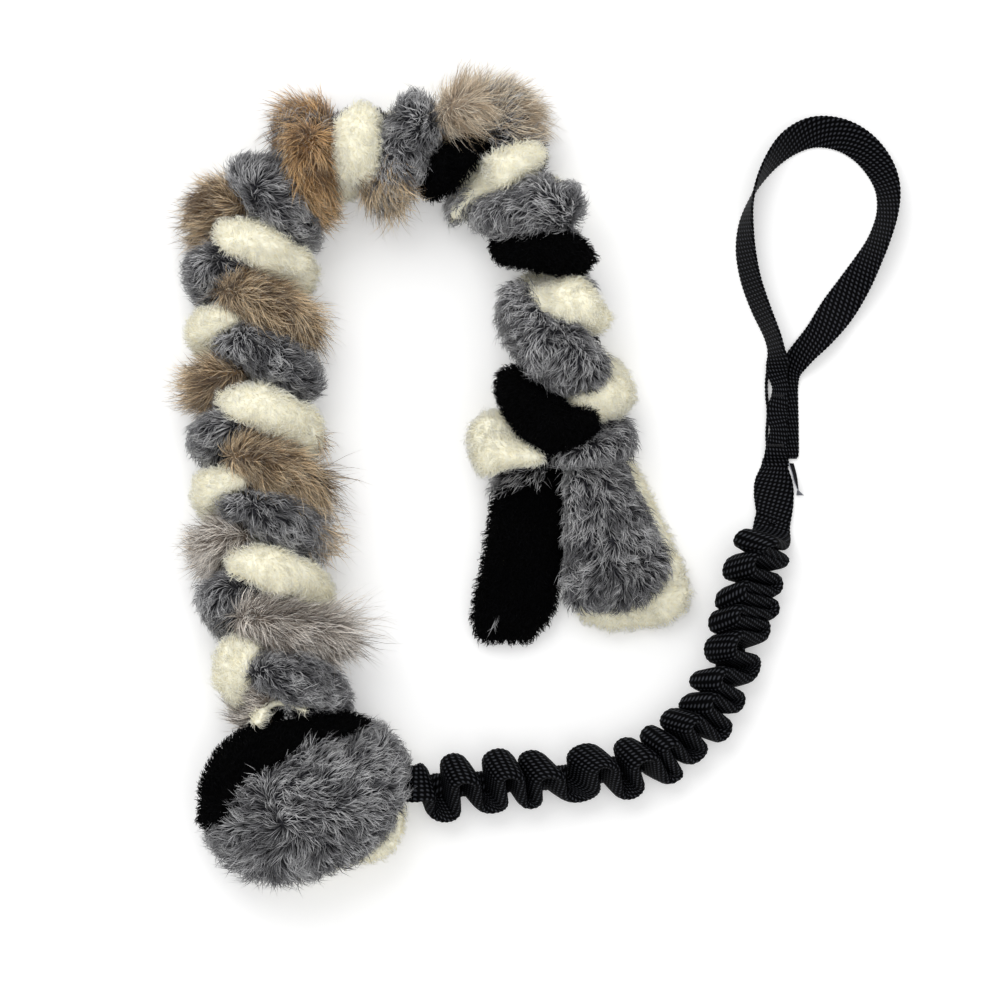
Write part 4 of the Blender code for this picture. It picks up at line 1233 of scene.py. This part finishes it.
# %% Combing guides
WOOL_FLOW = (
    (235, 835, -150), (260, 850, -120), (285, 868, -95), (315, 860, -75), (340, 845, -60),
    (385, 805, -20), (398, 770, 12), (345, 770, 22), (300, 790, 25), (255, 805, 150),
    (230, 815, 175), (330, 735, 30), (365, 735, 45), (215, 770, 60), (270, 730, 30),
    (300, 683, -15), (268, 692, -70), (330, 690, -20), (244, 658, 100), (217, 603, -120),
    (240, 620, -100), (275, 570, -55), (240, 560, 170), (300, 590, -60), (235, 528, 190),
    (261, 505, -70), (290, 520, -30), (260, 540, -80), (214, 490, 160), (208, 445, -150),
    (230, 460, -60), (270, 420, -50), (240, 395, 150), (300, 440, -45), (233, 375, -110),
    (261, 350, -50), (295, 365, -20), (217, 325, 120), (260, 246, -60), (240, 225, 110),
    (290, 270, -40), (270, 170, 70), (245, 180, 90), (290, 200, -10), (300, 220, -20),
    (215, 249, 150), (230, 262, -60), (358, 115, 85), (358, 148, -80), (350, 190, -70),
    (403, 105, 70), (400, 130, 180), (405, 160, -50), (420, 180, -45), (449, 208, -80),
    (508, 162, 20), (535, 155, 10), (490, 175, 200), (520, 195, 195), (555, 190, 70),
    (555, 215, 165), (515, 230, -110), (590, 215, -5), (585, 235, -20), (514, 286, -120),
    (520, 310, -140), (575, 285, -30), (600, 300, -40), (545, 290, 160), (500, 375, -150),
    (520, 345, -150), (555, 335, -60), (555, 365, -100), (600, 340, -15), (590, 370, -60),
    (612, 389, -40), (617, 437, -50), (483, 435, -120), (480, 415, 150), (508, 478, -140),
    (585, 490, -70), (590, 530, -95), (580, 580, -115), (600, 600, -80), (640, 540, -55),
    (650, 575, -40), (620, 500, -60), (530, 520, -95), (510, 600, -110), (540, 610, -80),
    (670, 595, -30), (620, 615, -85), (546, 418, -80), (545, 245, -60), (449, 168, -70),
)  # fmt: skip
FUR_FLOW = (
    (183, 568, -145), (195, 545, 165), (190, 600, -115), (215, 550, -150), (194, 400, -145),
    (205, 380, 170), (230, 400, -120), (202, 215, -178), (190, 240, -155), (225, 175, 130),
    (245, 155, 105), (215, 195, 160), (270, 301, -22), (235, 297, -8), (212, 305, -60),
    (320, 310, -35), (345, 325, -50), (300, 335, -62), (325, 250, -10), (330, 220, 10),
    (278, 460, -18), (250, 445, 0), (310, 470, -40), (335, 490, -62), (345, 525, -45),
    (330, 545, -25), (340, 400, -10), (335, 430, -30), (312, 105, 98), (300, 125, -100),
    (292, 112, 130),
    (335, 115, 72), (312, 150, -85), (325, 185, -62), (340, 220, -40), (386, 205, -82),
    (400, 215, -70), (440, 95, 130), (465, 80, 90), (495, 80, 55), (520, 100, 12),
    (525, 140, -25), (480, 120, -18), (460, 145, -62), (495, 158, -60), (450, 115, 0),
    (305, 635, -30), (240, 608, -25), (330, 655, -38), (345, 675, -52), (364, 611, 18),
    (390, 595, 30), (385, 640, -18), (250, 698, 150), (360, 580, 45),
)  # fmt: skip


GUIDE_EASE = 0.002  # keeps the nearest guide from drowning the others
WOOL_SWIRL = (1.2, 0.012)  # radians that a swirl turns the pile, and its size
FUR_SWIRL = (0.7, 0.02)
print(f"{len(WOOL_FLOW)} guides for wool, {len(FUR_FLOW)} for fur")


# %% Comb the pile between its guides
def comb_directions(points, flow, swirl, swirl_size):
    """Which way the pile is combed at each point, as the guides near it say."""
    guides = np.array([[*on_table(x, y)[:2], radians(turn)] for x, y, turn in flow])
    apart = points[:, None, :2] - guides[None, :, :2]
    weights = 1 / (np.sum(apart**2, axis=2) + GUIDE_EASE**2) ** 2
    east = weights @ np.cos(guides[:, 2])
    north = weights @ np.sin(guides[:, 2])
    heading = np.arctan2(north, east)
    slow = [noise.noise(Vector(p) / swirl_size) for p in points]
    heading += np.array(slow) * swirl
    return np.stack([np.cos(heading), np.sin(heading), np.zeros(len(points))], axis=1)


# %% [markdown]
# ## Slack and crowded places
#
# The solids follow an even plait. The real one was pulled by hand: here a strip hangs
# slack, there it is crowded out. These places were read off the picture and are given to
# the hides alone, as a smooth move round a spot or as more fullness there.

# %% Where the plait is not regular
# Of each strip or pelt: pixel of the picture, reach in pixels, and the move in mm
NUDGES = {
    "cream": (
        (250, 138, 36, (16, -21, -18)), (292, 718, 22, (-8, 7, -16)),
        (224, 728, 24, (-7, 7, 4)), (375, 825, 34, (4, -9, 0)), (442, 92, 40, (4, -24, -20)),
        (358, 112, 30, (1, -3, 5)), (470, 196, 24, (2, 3, -12)), (598, 218, 32, (-27, 0, -18)),
        (452, 200, 22, (-3, -9, 0)), (672, 596, 26, (4, -3, 6)), (618, 622, 30, (0, -3, 3)),
        (552, 303, 45, (10, 5, 0)), (520, 285, 24, (7, 0, -9)), (598, 395, 26, (7, 4, 0)),
        (503, 438, 30, (-11, 3, 0)), (488, 455, 22, (2, -8, 0)), (228, 668, 30, (7, -10, 6)),
        (222, 702, 24, (-1, -8, 5)), (350, 205, 24, (0, 6, 0)), (476, 178, 20, (4, 2, -8)),
    ),
    "grey": (
        (248, 190, 34, (-3, 2, 2)), (213, 802, 28, (6, -6, -4)), (345, 722, 28, (0, -7, -5)),
        (280, 750, 28, (2, -4, -2)), (230, 706, 24, (9, 2, -16)), (312, 92, 34, (0, -10, -16)),
        (405, 112, 28, (-1, 1, 4)), (342, 106, 18, (-2, -7, -8)), (518, 124, 26, (0, 0, -10)),
        (612, 268, 38, (-29, 0, -18)), (590, 348, 26, (10, 1, 3)), (641, 561, 11, (0, 0, -7)),
        (516, 322, 26, (-2, 14, 4)), (596, 440, 28, (11, 2, 0)), (545, 355, 50, (5, 4, 2)),
        (525, 212, 50, (7, 3, 2)), (336, 612, 29, (19, 1, 2)),
    ),
    "black": (
        (225, 800, 30, (3, -4, 3)), (345, 716, 28, (3, -3, 3)), (384, 99, 40, (0, -27, -22)),
        (570, 160, 28, (-18, -11, -16)), (452, 167, 42, (6, 3, 7)),
        (606, 340, 32, (-31, 0, -18)), (540, 258, 50, (4, 6, 0)), (540, 405, 40, (4, -7, 3)),
        (575, 420, 24, (8, 5, 0)), (226, 716, 26, (9, 5, -2)),
    ),
    "rust": ((308, 118, 34, (3, -4, 4)),),
    "beige": (
        (470, 130, 75, (-5, 11, 2)), (453, 176, 32, (0, 6, -34)),
        (566, 146, 32, (-24, -8, -20)),
    ),
}  # fmt: skip
# The same, with how many mm fuller it is there
SWELLS = {
    "grey": (
        (550, 350, 55, 4.5), (535, 210, 50, 4.5), (402, 130, 40, 3.0), (268, 195, 45, 3.0),
        (600, 440, 28, 2.5), (303, 790, 90, 1.0),
    ),
    "cream": (
        (362, 140, 42, 3.2), (575, 292, 40, 2.0), (598, 392, 26, 1.5), (275, 570, 40, 1.5),
        (270, 420, 40, 1.5), (262, 248, 40, 1.5),
    ),
    "beige": ((485, 112, 55, 2.0),),
    "black": (
        (450, 165, 36, 3.0), (545, 415, 38, 4.0), (535, 245, 45, 2.5), (520, 478, 18, 3.0),
    ),
    "rust": ((308, 130, 45, 1.5),),
}  # fmt: skip


for name, places in (("moved", NUDGES), ("fuller", SWELLS)):
    print(f"{sum(len(rows) for rows in places.values())} places are {name}")


# %% Move a hide at these places
def shares(points, x, y, reach):
    """How far each point lies from a pixel of the picture, as a share of the reach."""
    apart = np.linalg.norm(points[:, :2] - on_table(x, y)[:2], axis=1)
    return apart / (reach * PHOTO_PIXEL)


def near(points, x, y, reach):
    """1 under a pixel of the picture, falling softly to 0 past the reach."""
    return np.exp(-(shares(points, x, y, reach) ** 2))


def irregular(node, points, normals):
    """Moves a hide's places where the picture's plait is slack or crowded."""
    strip = node.split("_")[0]
    moved = points.copy()
    for *spot, move in NUDGES.get(strip, ()):
        moved += near(points, *spot)[:, None] * np.array(move) / 1000
    for *spot, fuller in SWELLS.get(strip, ()):
        moved += near(points, *spot)[:, None] * normals * fuller / 1000
    return moved


# %% [markdown]
# ## The hides
#
# The skin of a fleece strip is leather, and the pile stands on it. The hide of each piece
# is its solid, evened out with a voxel remesh, and moved in or out a little until the
# finished pile is as wide as in the picture. It has soft lumps, because wool is never
# even. Strands that another piece would cover are left out: rays from each point of the
# hide say how open it lies and how much room is over it.

# %% One search tree over all furry solids
FURRY = ("_near", "_twist", "_far", "_strip_end", "_pelt", "_band", "_tail")


def covering():
    """The furry solids, moved as their hides are, ready for rays to be sent into."""
    points, faces = [], []
    for name in sorted(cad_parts):
        if not name.endswith(FURRY):
            continue
        mesh = bpy.data.objects[name].data
        start = len(points)
        places = np.array([v.co for v in mesh.vertices])
        ways = np.array([v.normal for v in mesh.vertices])
        points += [Vector(p) for p in irregular(name, places, ways)]
        faces += [[start + i for i in face.vertices] for face in mesh.polygons]
    print(f"cover: {len(faces)} faces")
    return BVHTree.FromPolygons(points, faces)


COVER = covering()

# %% How open each place lies
OPEN_REACH = 0.03  # how far the rays look for something that covers the hide
RAY_START = 0.0015  # above the hide
RAYS = 6
RAY_RISE = 0.6
RAY_SPREAD = 0.8


def openness(points, normals):
    """For each place of a hide, how open it lies and how much room is over it."""
    shown = np.zeros(len(points))
    room = np.full(len(points), OPEN_REACH)
    for i, (point, normal) in enumerate(zip(points, normals)):
        way = Vector(normal)
        start = Vector(point) + way * RAY_START
        side = way.orthogonal().normalized()
        other = way.cross(side)
        hit, hit_normal, _, far = COVER.ray_cast(start, way, OPEN_REACH)
        if hit is not None:
            room[i] = 0 if hit_normal.dot(way) > 0 else far
        free = 2 * (hit is None)
        for turn in (2 * pi * k / RAYS for k in range(RAYS)):
            ray = way * RAY_RISE + (side * cos(turn) + other * sin(turn)) * RAY_SPREAD
            free += COVER.ray_cast(start, ray, OPEN_REACH)[0] is None
        shown[i] = free / (RAYS + 2) if room[i] > 0 else 0
    return shown, room


def smoothed(mesh, values, times):
    """Each value drawn towards those of its neighbours on the mesh."""
    edges = np.empty(len(mesh.edges) * 2, int)
    mesh.edges.foreach_get("vertices", edges)
    edges = edges.reshape(-1, 2)
    for _ in range(times):
        total = values.astype(float)
        count = np.ones(len(values))
        for a, b in (edges.T, edges.T[::-1]):
            np.add.at(total, a, values[b])
            np.add.at(count, a, 1)
        values = total / count
    return values


# %% An even skin
WELD_REACH = 0.00001
SKIN_GRAIN = 0.0025


def even_skin(name, node):
    """A copy of the node's solid as one even mesh."""
    shape = bmesh.new()
    shape.from_mesh(bpy.data.objects[node].data)
    bmesh.ops.remove_doubles(shape, verts=shape.verts, dist=WELD_REACH)
    mesh = bpy.data.meshes.new(name)
    shape.to_mesh(mesh)
    shape.free()
    piece = make_object(name, mesh)
    even = piece.modifiers.new("even", "REMESH")
    even.mode = "VOXEL"
    even.voxel_size = SKIN_GRAIN
    soften = piece.modifiers.new("soften", "SMOOTH")
    soften.factor = 0.6
    soften.iterations = 5
    return freeze(piece)


# %% The hide of a piece
# Size of the lumps, their height on two of the strips, and their height elsewhere
LUMPS = (
    (0.006, {"cream": 0.0014, "grey": 0.0012}, 0.0006),
    (0.014, {"cream": 0.0024, "grey": 0.0016}, 0.0008),
)
HIDE_GAP = 0.0004  # over the table
HIDDEN_SHARE = 0.05  # of its move and lumps that a covered place still has
OPEN_GAIN = 1.3  # how soon a half open place has all of them


def vertex_values(mesh, name):
    """The places or the normals of all vertices, one row each."""
    values = np.empty(len(mesh.vertices) * 3)
    mesh.vertices.foreach_get(name, values)
    return values.reshape(-1, 3)


def set_attribute(mesh, name, kind, values):
    made = mesh.attributes.new(name, kind, "POINT")
    made.data.foreach_set("vector" if kind == "FLOAT_VECTOR" else "value", np.ravel(values))


def hide_of(name, node, sink):
    """The hide, and its skin's places, normals, openness and room."""
    piece = even_skin(name, node)
    mesh = piece.data
    points = irregular(node, vertex_values(mesh, "co"), vertex_values(mesh, "normal"))
    mesh.vertices.foreach_set("co", points.ravel())
    mesh.update()
    normals = vertex_values(mesh, "normal")
    shown, room = openness(points, normals)
    shown, room = smoothed(mesh, shown, 2), smoothed(mesh, room, 1)
    depth = np.full(len(points), sink)
    for size, heights, height in LUMPS:
        lumps = np.array([noise.noise(Vector(p) / size) for p in points])
        depth += heights.get(node.split("_")[0], height) * lumps
    depth *= np.clip(OPEN_GAIN * shown, HIDDEN_SHARE, 1)
    drawn = points - normals * depth[:, None]
    drawn[:, 2] = np.maximum(drawn[:, 2], HIDE_GAP)
    mesh.vertices.foreach_set("co", drawn.ravel())
    return piece, points, normals, shown, room


# %% [markdown]
# ## Growing the pile
#
# Each kind of wool has one layer of strands, in curly locks. Rabbit fur has two: short
# dense underfur, and longer guard hair that gives the sleek outline. The numbers were
# fitted to the picture: the length of the wisps at the edge, the width of the locks and
# how deep the gaps between them are.

# %% The piles
WOOL = {
    "grey_wool": {
        "Strands per m2": 850e3, "Length": 0.0078, "Length variation": 0.35,
        "Strand radius": 0.00024, "Lean": 0.35, "Bend": 1.5, "Wander": 0.45,
        "Curl radius": 0.0007, "Curls": 0.9, "Lock size": 0.0036, "Lock pull": 0.5,
        "Lock turn": 0.7, "Lock lift": 0.28, "Segments": 2,
    },
    "cream_wool": {
        "Strands per m2": 700e3, "Length": 0.0050, "Length variation": 0.4,
        "Strand radius": 0.00018, "Lean": 0.35, "Bend": 1.5, "Wander": 1.2,
        "Curl radius": 0.0006, "Curls": 1.0, "Lock size": 0.0040, "Lock pull": 0.4,
        "Lock turn": 1.4, "Lock lift": 0.2, "Segments": 2,
    },
    "black_wool": {
        "Strands per m2": 600e3, "Length": 0.0045, "Length variation": 0.3,
        "Strand radius": 0.00026, "Lean": 0.3, "Bend": 1.2, "Wander": 0.9,
        "Curl radius": 0.0005, "Curls": 1.0, "Lock size": 0.0035, "Lock pull": 0.4,
        "Lock turn": 1.2, "Lock lift": 0.2, "Segments": 3,
    },
}  # fmt: skip
UNDERFUR = {
    "Strands per m2": 550e3, "Length": 0.0095, "Length variation": 0.35,
    "Strand radius": 0.00019, "Lean": 0.45, "Bend": 1.0, "Wander": 0.5,
    "Curl radius": 0.0005, "Curls": 1.0, "Lock size": 0.0034, "Lock pull": 0.6,
    "Lock turn": 0.4, "Lock lift": 0.25, "Segments": 3,
}  # fmt: skip
GUARD_HAIR = {
    "Strands per m2": 800e3, "Length": 0.0125, "Length variation": 0.5,
    "Strand radius": 0.00016, "Lean": 0.45, "Bend": 0.9, "Wander": 0.7,
    "Curl radius": 0.0004, "Curls": 0.6, "Lock size": 0.0042, "Lock pull": 0.5,
    "Lock turn": 0.7, "Lock lift": 0.25, "Segments": 3,
}  # fmt: skip
# How far the hide is drawn in under each kind of pile. Below 0 it is let out
SINKS = {"grey_wool": -0.0002, "cream_wool": -0.0016, "black_wool": -0.0006}
FUR_SINK = 0.0012
print(f"{len(WOOL)} wools, and fur in two layers")

# %% What the hide says of its pile
# Where a pelt's fur covers a strip's own wool: pixel and reach
OVERGROWN = {
    "grey": ((308, 100, 34), (525, 118, 24), (641, 562, 6)),
    "cream": ((448, 200, 22), (438, 92, 26)),
    "beige": ((452, 170, 24),),
    "black": ((500, 480, 10), (520, 476, 10), (538, 472, 9)),
}  # fmt: skip
# Where the fur has long tufts: pixel, reach, and how many times longer
LONG_TUFTS = (
    (500, 88, 30, 1.2), (525, 110, 18, 1.3), (348, 612, 26, 2.4), (180, 565, 30, 1.25),
    (330, 330, 30, 1.5), (335, 500, 40, 2.1), (300, 115, 20, 1.4), (390, 205, 20, 1.5),
    (485, 110, 45, 1.3), (190, 235, 30, 1.3), (190, 400, 25, 1.3), (275, 872, 45, 1.6),
    (375, 606, 22, 1.6),
)  # fmt: skip
print(f"{len(LONG_TUFTS)} long tufts")


# %% Near a spot of the picture
def within(points, spots):
    """1 inside the reach of a spot (pixel, reach), fading to 0 outside."""
    most = np.zeros(len(points))
    for spot in spots:
        most = np.maximum(most, np.clip(1.5 - shares(points, *spot), 0, 1))
    return most


def tuft_lengths(points):
    """How much longer the fur is near the picture's long tufts."""
    factor = np.ones(len(points))
    for *spot, longer in LONG_TUFTS:
        factor = np.maximum(factor, 1 + (longer - 1) * near(points, *spot))
    return factor


# %% Write on the hide how its pile grows
FULL_ROOM = 0.006  # over the hide, for a pile of full length
CRAMPED_SHARE, ROOM_SHARE = 0.55, 0.45  # of that length without room, and what room adds
BARE_OPENNESS = 0.08  # nothing grows on a place less open than this
FULL_OPENNESS = 0.25  # beyond that, for a full pile
UNDERSIDE_THINNING = 0.7
PRESSED_SHARE = 0.6  # of the length that the table takes from an underside
TABLE_NEAR, TABLE_REACH = 0.001, 0.006  # heights over which the table lets go


def describe(mesh, node, fur, hide, spots):
    """Writes on the hide how its pile is combed, how dense and how long it grows."""
    points, normals, shown, room = hide
    lie = (FUR_FLOW, *FUR_SWIRL) if fur else (WOOL_FLOW, *WOOL_SWIRL)
    lying_low = 1 - np.clip((points[:, 2] - TABLE_NEAR) / TABLE_REACH, 0, 1)
    facing_down = np.clip(-normals[:, 2], 0, 1)
    grow = np.clip((shown - BARE_OPENNESS) / FULL_OPENNESS, 0, 1)
    grow *= 1 - UNDERSIDE_THINNING * facing_down
    if spots:
        grow *= within(points, spots)
    else:
        grow *= 1 - within(points, OVERGROWN.get(node.split("_")[0], ()))
    long = CRAMPED_SHARE + ROOM_SHARE * np.clip(room / FULL_ROOM, 0, 1)
    long *= 1 - PRESSED_SHARE * facing_down * lying_low
    long *= tuft_lengths(points)
    set_attribute(mesh, "comb", "FLOAT_VECTOR", comb_directions(points, *lie))
    set_attribute(mesh, "grow", "FLOAT", grow)
    set_attribute(mesh, "long", "FLOAT", long)


# %% How a piece moves with the toy
ABOVE = {"black_tail": "braid_far", "cream_tail": "braid_far", "grey_tail": "cream_tail"}


def settle(piece, body):
    """The piece rides on its body, or, on the twist and the tails, keeps its place baked in."""
    if body == "twist":
        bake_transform(piece)
    elif body in ABOVE:
        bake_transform(piece)
    else:
        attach(piece, body)


# %% Grow one piece
SCAFFOLD = ("comb", "grow", "long", "room", "root", "up", "stray", "fibre")
SEED_STEP = 100  # from one layer of a piece to the next


def strands_only(mesh, hide):
    """Takes the faces of the hide away, so that fur can grow through another piece's wool."""
    slot = mesh.materials.find(hide.name)
    shape = bmesh.new()
    shape.from_mesh(mesh)
    skin = [face for face in shape.faces if face.material_index == slot]
    bmesh.ops.delete(shape, geom=skin, context="FACES")
    shape.to_mesh(mesh)
    shape.free()


def grow_piece(name, node, finish, body, seed, spots=()):
    """A node's hide and pile. With spots it is strands alone, and only there."""
    fur = finish.endswith("_fur")
    sink = SINKS.get(finish, FUR_SINK)
    piece, *hide = hide_of(name, node, sink)
    piece.data.materials.append(HIDES[finish])
    describe(piece.data, node, fur, hide, spots)
    set_attribute(piece.data, "room", "FLOAT", hide[-1] + sink)
    layers = (UNDERFUR, GUARD_HAIR) if fur else (WOOL[finish],)
    for i, layer in enumerate(layers):
        own = {"Seed": seed + SEED_STEP * i, "Strand material": MATERIALS[finish]}
        run_tree(piece, PILE, {**layer, **own})
    freeze(piece)
    if spots:
        strands_only(piece.data, HIDES[finish])
    else:
        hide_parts(node)
    for extra in SCAFFOLD:
        found = piece.data.attributes.get(extra)
        if found:
            piece.data.attributes.remove(found)
    settle(piece, body)
    piece.data.calc_loop_triangles()
    print(f"{name}: {len(piece.data.loop_triangles)} triangles")


# %% [markdown]
# ## The furry pieces
#
# Each strip is one piece beside the knot, one where the braid twists and one beyond, as
# the part's joint asks. A pelt is one piece, and so is each band of the knot.

# %% Strips, pelts and bands
PIECES = (
    ("grey_strip_near", "grey_wool", "knot"),
    ("cream_strip_near", "cream_wool", "knot"),
    ("black_strip_near", "black_wool", "knot"),
    ("grey_strip_far", "grey_wool", "braid_far"),
    ("cream_strip_far", "cream_wool", "braid_far"),
    ("black_strip_far", "black_wool", "braid_far"),
    ("black_strip_end", "black_wool", "braid_far"),
    ("grey_rabbit_pelt", "grey_fur", "knot"),
    ("brown_rabbit_pelt", "brown_fur", "knot"),
    ("rust_rabbit_pelt", "rust_fur", "knot"),
    ("beige_rabbit_pelt", "beige_fur", "braid_far"),
    ("black_knot_band", "black_wool", "knot"),
    ("cream_knot_band", "cream_wool", "knot"),
    ("grey_knot_band", "grey_wool", "knot"),
)
for seed, (node, finish, body) in enumerate(PIECES):
    grow_piece(node.replace("strip", "fleece") + "_pile", node, finish, body, seed)

# %% [markdown]
# ## Fringes
#
# A pelt's long hair hangs over the strips beside it, and in the arch some wool shows
# between the furs. Such hair has its roots on the neighbour: these pieces are strands
# alone, grown on the neighbour's hide near a few spots of the picture.

# %% Fur that hangs past the pelts
FRINGES = (
    ("brown_fringe", "black_strip_near", "brown_fur", "knot",
     ((330, 330, 45), (335, 420, 30), (335, 500, 45), (190, 395, 40), (190, 220, 45),
      (330, 230, 35), (186, 556, 26))),
    ("grey_fringe", "black_strip_near", "grey_fur", "knot",
     ((345, 640, 35), (190, 575, 34), (254, 700, 13), (335, 560, 25))),
    ("rust_fringe", "grey_strip_near", "rust_fur", "knot", ((308, 100, 34),)),
    ("brown_tuft", "grey_strip_twist", "brown_fur", "twist", ((388, 196, 24),)),
    ("brown_tuft_beside", "cream_strip_twist", "brown_fur", "twist", ((372, 200, 20),)),
    ("beige_tuft_behind", "grey_strip_far", "beige_fur", "braid_far",
     ((490, 98, 38), (525, 118, 24))),
    ("grey_lock_inside", "cream_strip_far", "grey_wool", "braid_far", ((448, 200, 22),)),
    ("brown_fringe_beside", "grey_strip_near", "brown_fur", "knot",
     ((330, 405, 13), (332, 530, 16), (325, 545, 12))),
    ("brown_fringe_over", "cream_strip_near", "brown_fur", "knot",
     ((328, 440, 12), (240, 425, 8))),
    ("grey_roll", "black_tail", "grey_wool", "black_tail",
     ((500, 480, 10), (520, 476, 10), (538, 472, 9), (497, 618, 3))),
)  # fmt: skip
for seed, (name, node, finish, body, spots) in enumerate(FRINGES, start=40):
    grow_piece(name, node, finish, body, seed, spots)

# %% [markdown]
# ## Where the toy bends
#
# The braid twists at the arch, and the loose tails lift off the table. Soft hide bends
# over a length and not in a line. These pieces ride on no body: their place is baked in.

# %% The stretch that twists
for seed, colour in enumerate(("grey", "cream", "black"), start=20):
    name = f"{colour}_fleece_twist_pile"
    grow_piece(name, f"{colour}_strip_twist", f"{colour}_wool", "twist", seed)

# %% The loose tails
for seed, colour in enumerate(("black", "cream", "grey"), start=30):
    tail = f"{colour}_tail"
    grow_piece(f"{tail}_pile", tail, f"{colour}_wool", tail, seed)

# %% [markdown]
# ## Floor and light
#
# The picture has a white ground with soft shadows below and to the right. The floor is
# plain white. What the camera sees of it is lifted a little with light of its own, which
# lights nothing else. A large lamp stands for the window behind, and one for the ceiling.

# %% Floor
FLOOR_REACH = 3.0
FLOOR_GLOW = 0.2


def white_floor():
    """Matt white paper, with a glow that only the camera, mirrors and glass see."""
    made, tree, shader = new_material("white_floor", 0.9)
    shader.inputs["Base Color"].default_value = srgb("#f4f4f4")
    rays = add(tree, "ShaderNodeLightPath").outputs
    seen = {0: rays["Is Camera Ray"], 1: rays["Is Glossy Ray"]}
    seen = {0: add(tree, MATH, seen, operation="MAXIMUM"), 1: rays["Is Transmission Ray"]}
    lift = {0: add(tree, MATH, seen, operation="MAXIMUM"), 1: FLOOR_GLOW}
    lift = add(tree, MATH, lift, operation="MULTIPLY")
    glow = add(tree, "ShaderNodeEmission", {"Strength": lift})
    both = add(tree, "ShaderNodeAddShader", {0: shader, 1: glow})
    tree.links.new(both.outputs[0], tree.nodes["Material Output"].inputs["Surface"])
    return made


ways = ((-1, -1), (1, -1), (1, 1), (-1, 1))
ground = bpy.data.meshes.new("floor")
ground.from_pydata([(x * FLOOR_REACH, y * FLOOR_REACH, 0) for x, y in ways], [], [(0, 1, 2, 3)])
floor = make_object("floor", ground, white_floor())
print(f"floor: {2 * FLOOR_REACH} m wide")

# %% Lamps
SKY_STRENGTH = 0.72
# Name, place, size in metres and watts
LAMPS = (
    ("window", (-0.5, 1.1, 1.6), 1.2, 15.0),
    ("ceiling", (0.2, -0.2, 2.2), 1.6, 8.0),
)
world = bpy.data.worlds.new("studio")
world.use_nodes = True
sky = world.node_tree.nodes["Background"].inputs
sky["Color"].default_value = (1, 1, 1, 1)
sky["Strength"].default_value = SKY_STRENGTH
bpy.context.scene.world = world
for name, place, size, power in LAMPS:
    lamp = bpy.data.lights.new(name, "AREA")
    lamp.shape = "SQUARE"
    lamp.size = size
    lamp.energy = power
    made = bpy.data.objects.new(name, lamp)
    made.location = place
    made.rotation_euler = (-Vector(place)).to_track_quat("-Z", "Y").to_euler()
    bpy.context.collection.objects.link(made)
    print(f"{name}: {power} W")

# %% [markdown]
# ## The anchor in the knot
#
# The tube's folded end sits inside the knot. It keeps its solid as it is and only gets
# the nylon. It has no cloth map, so its weave follows the object's own coordinates.

# %% Anchor
anchor = bpy.data.objects["bungee_anchor"]
anchor.data.materials.clear()
anchor.data.materials.append(nylon_webbing("woven_nylon_anchor", False))
print("anchor:", anchor.data.materials[0].name)
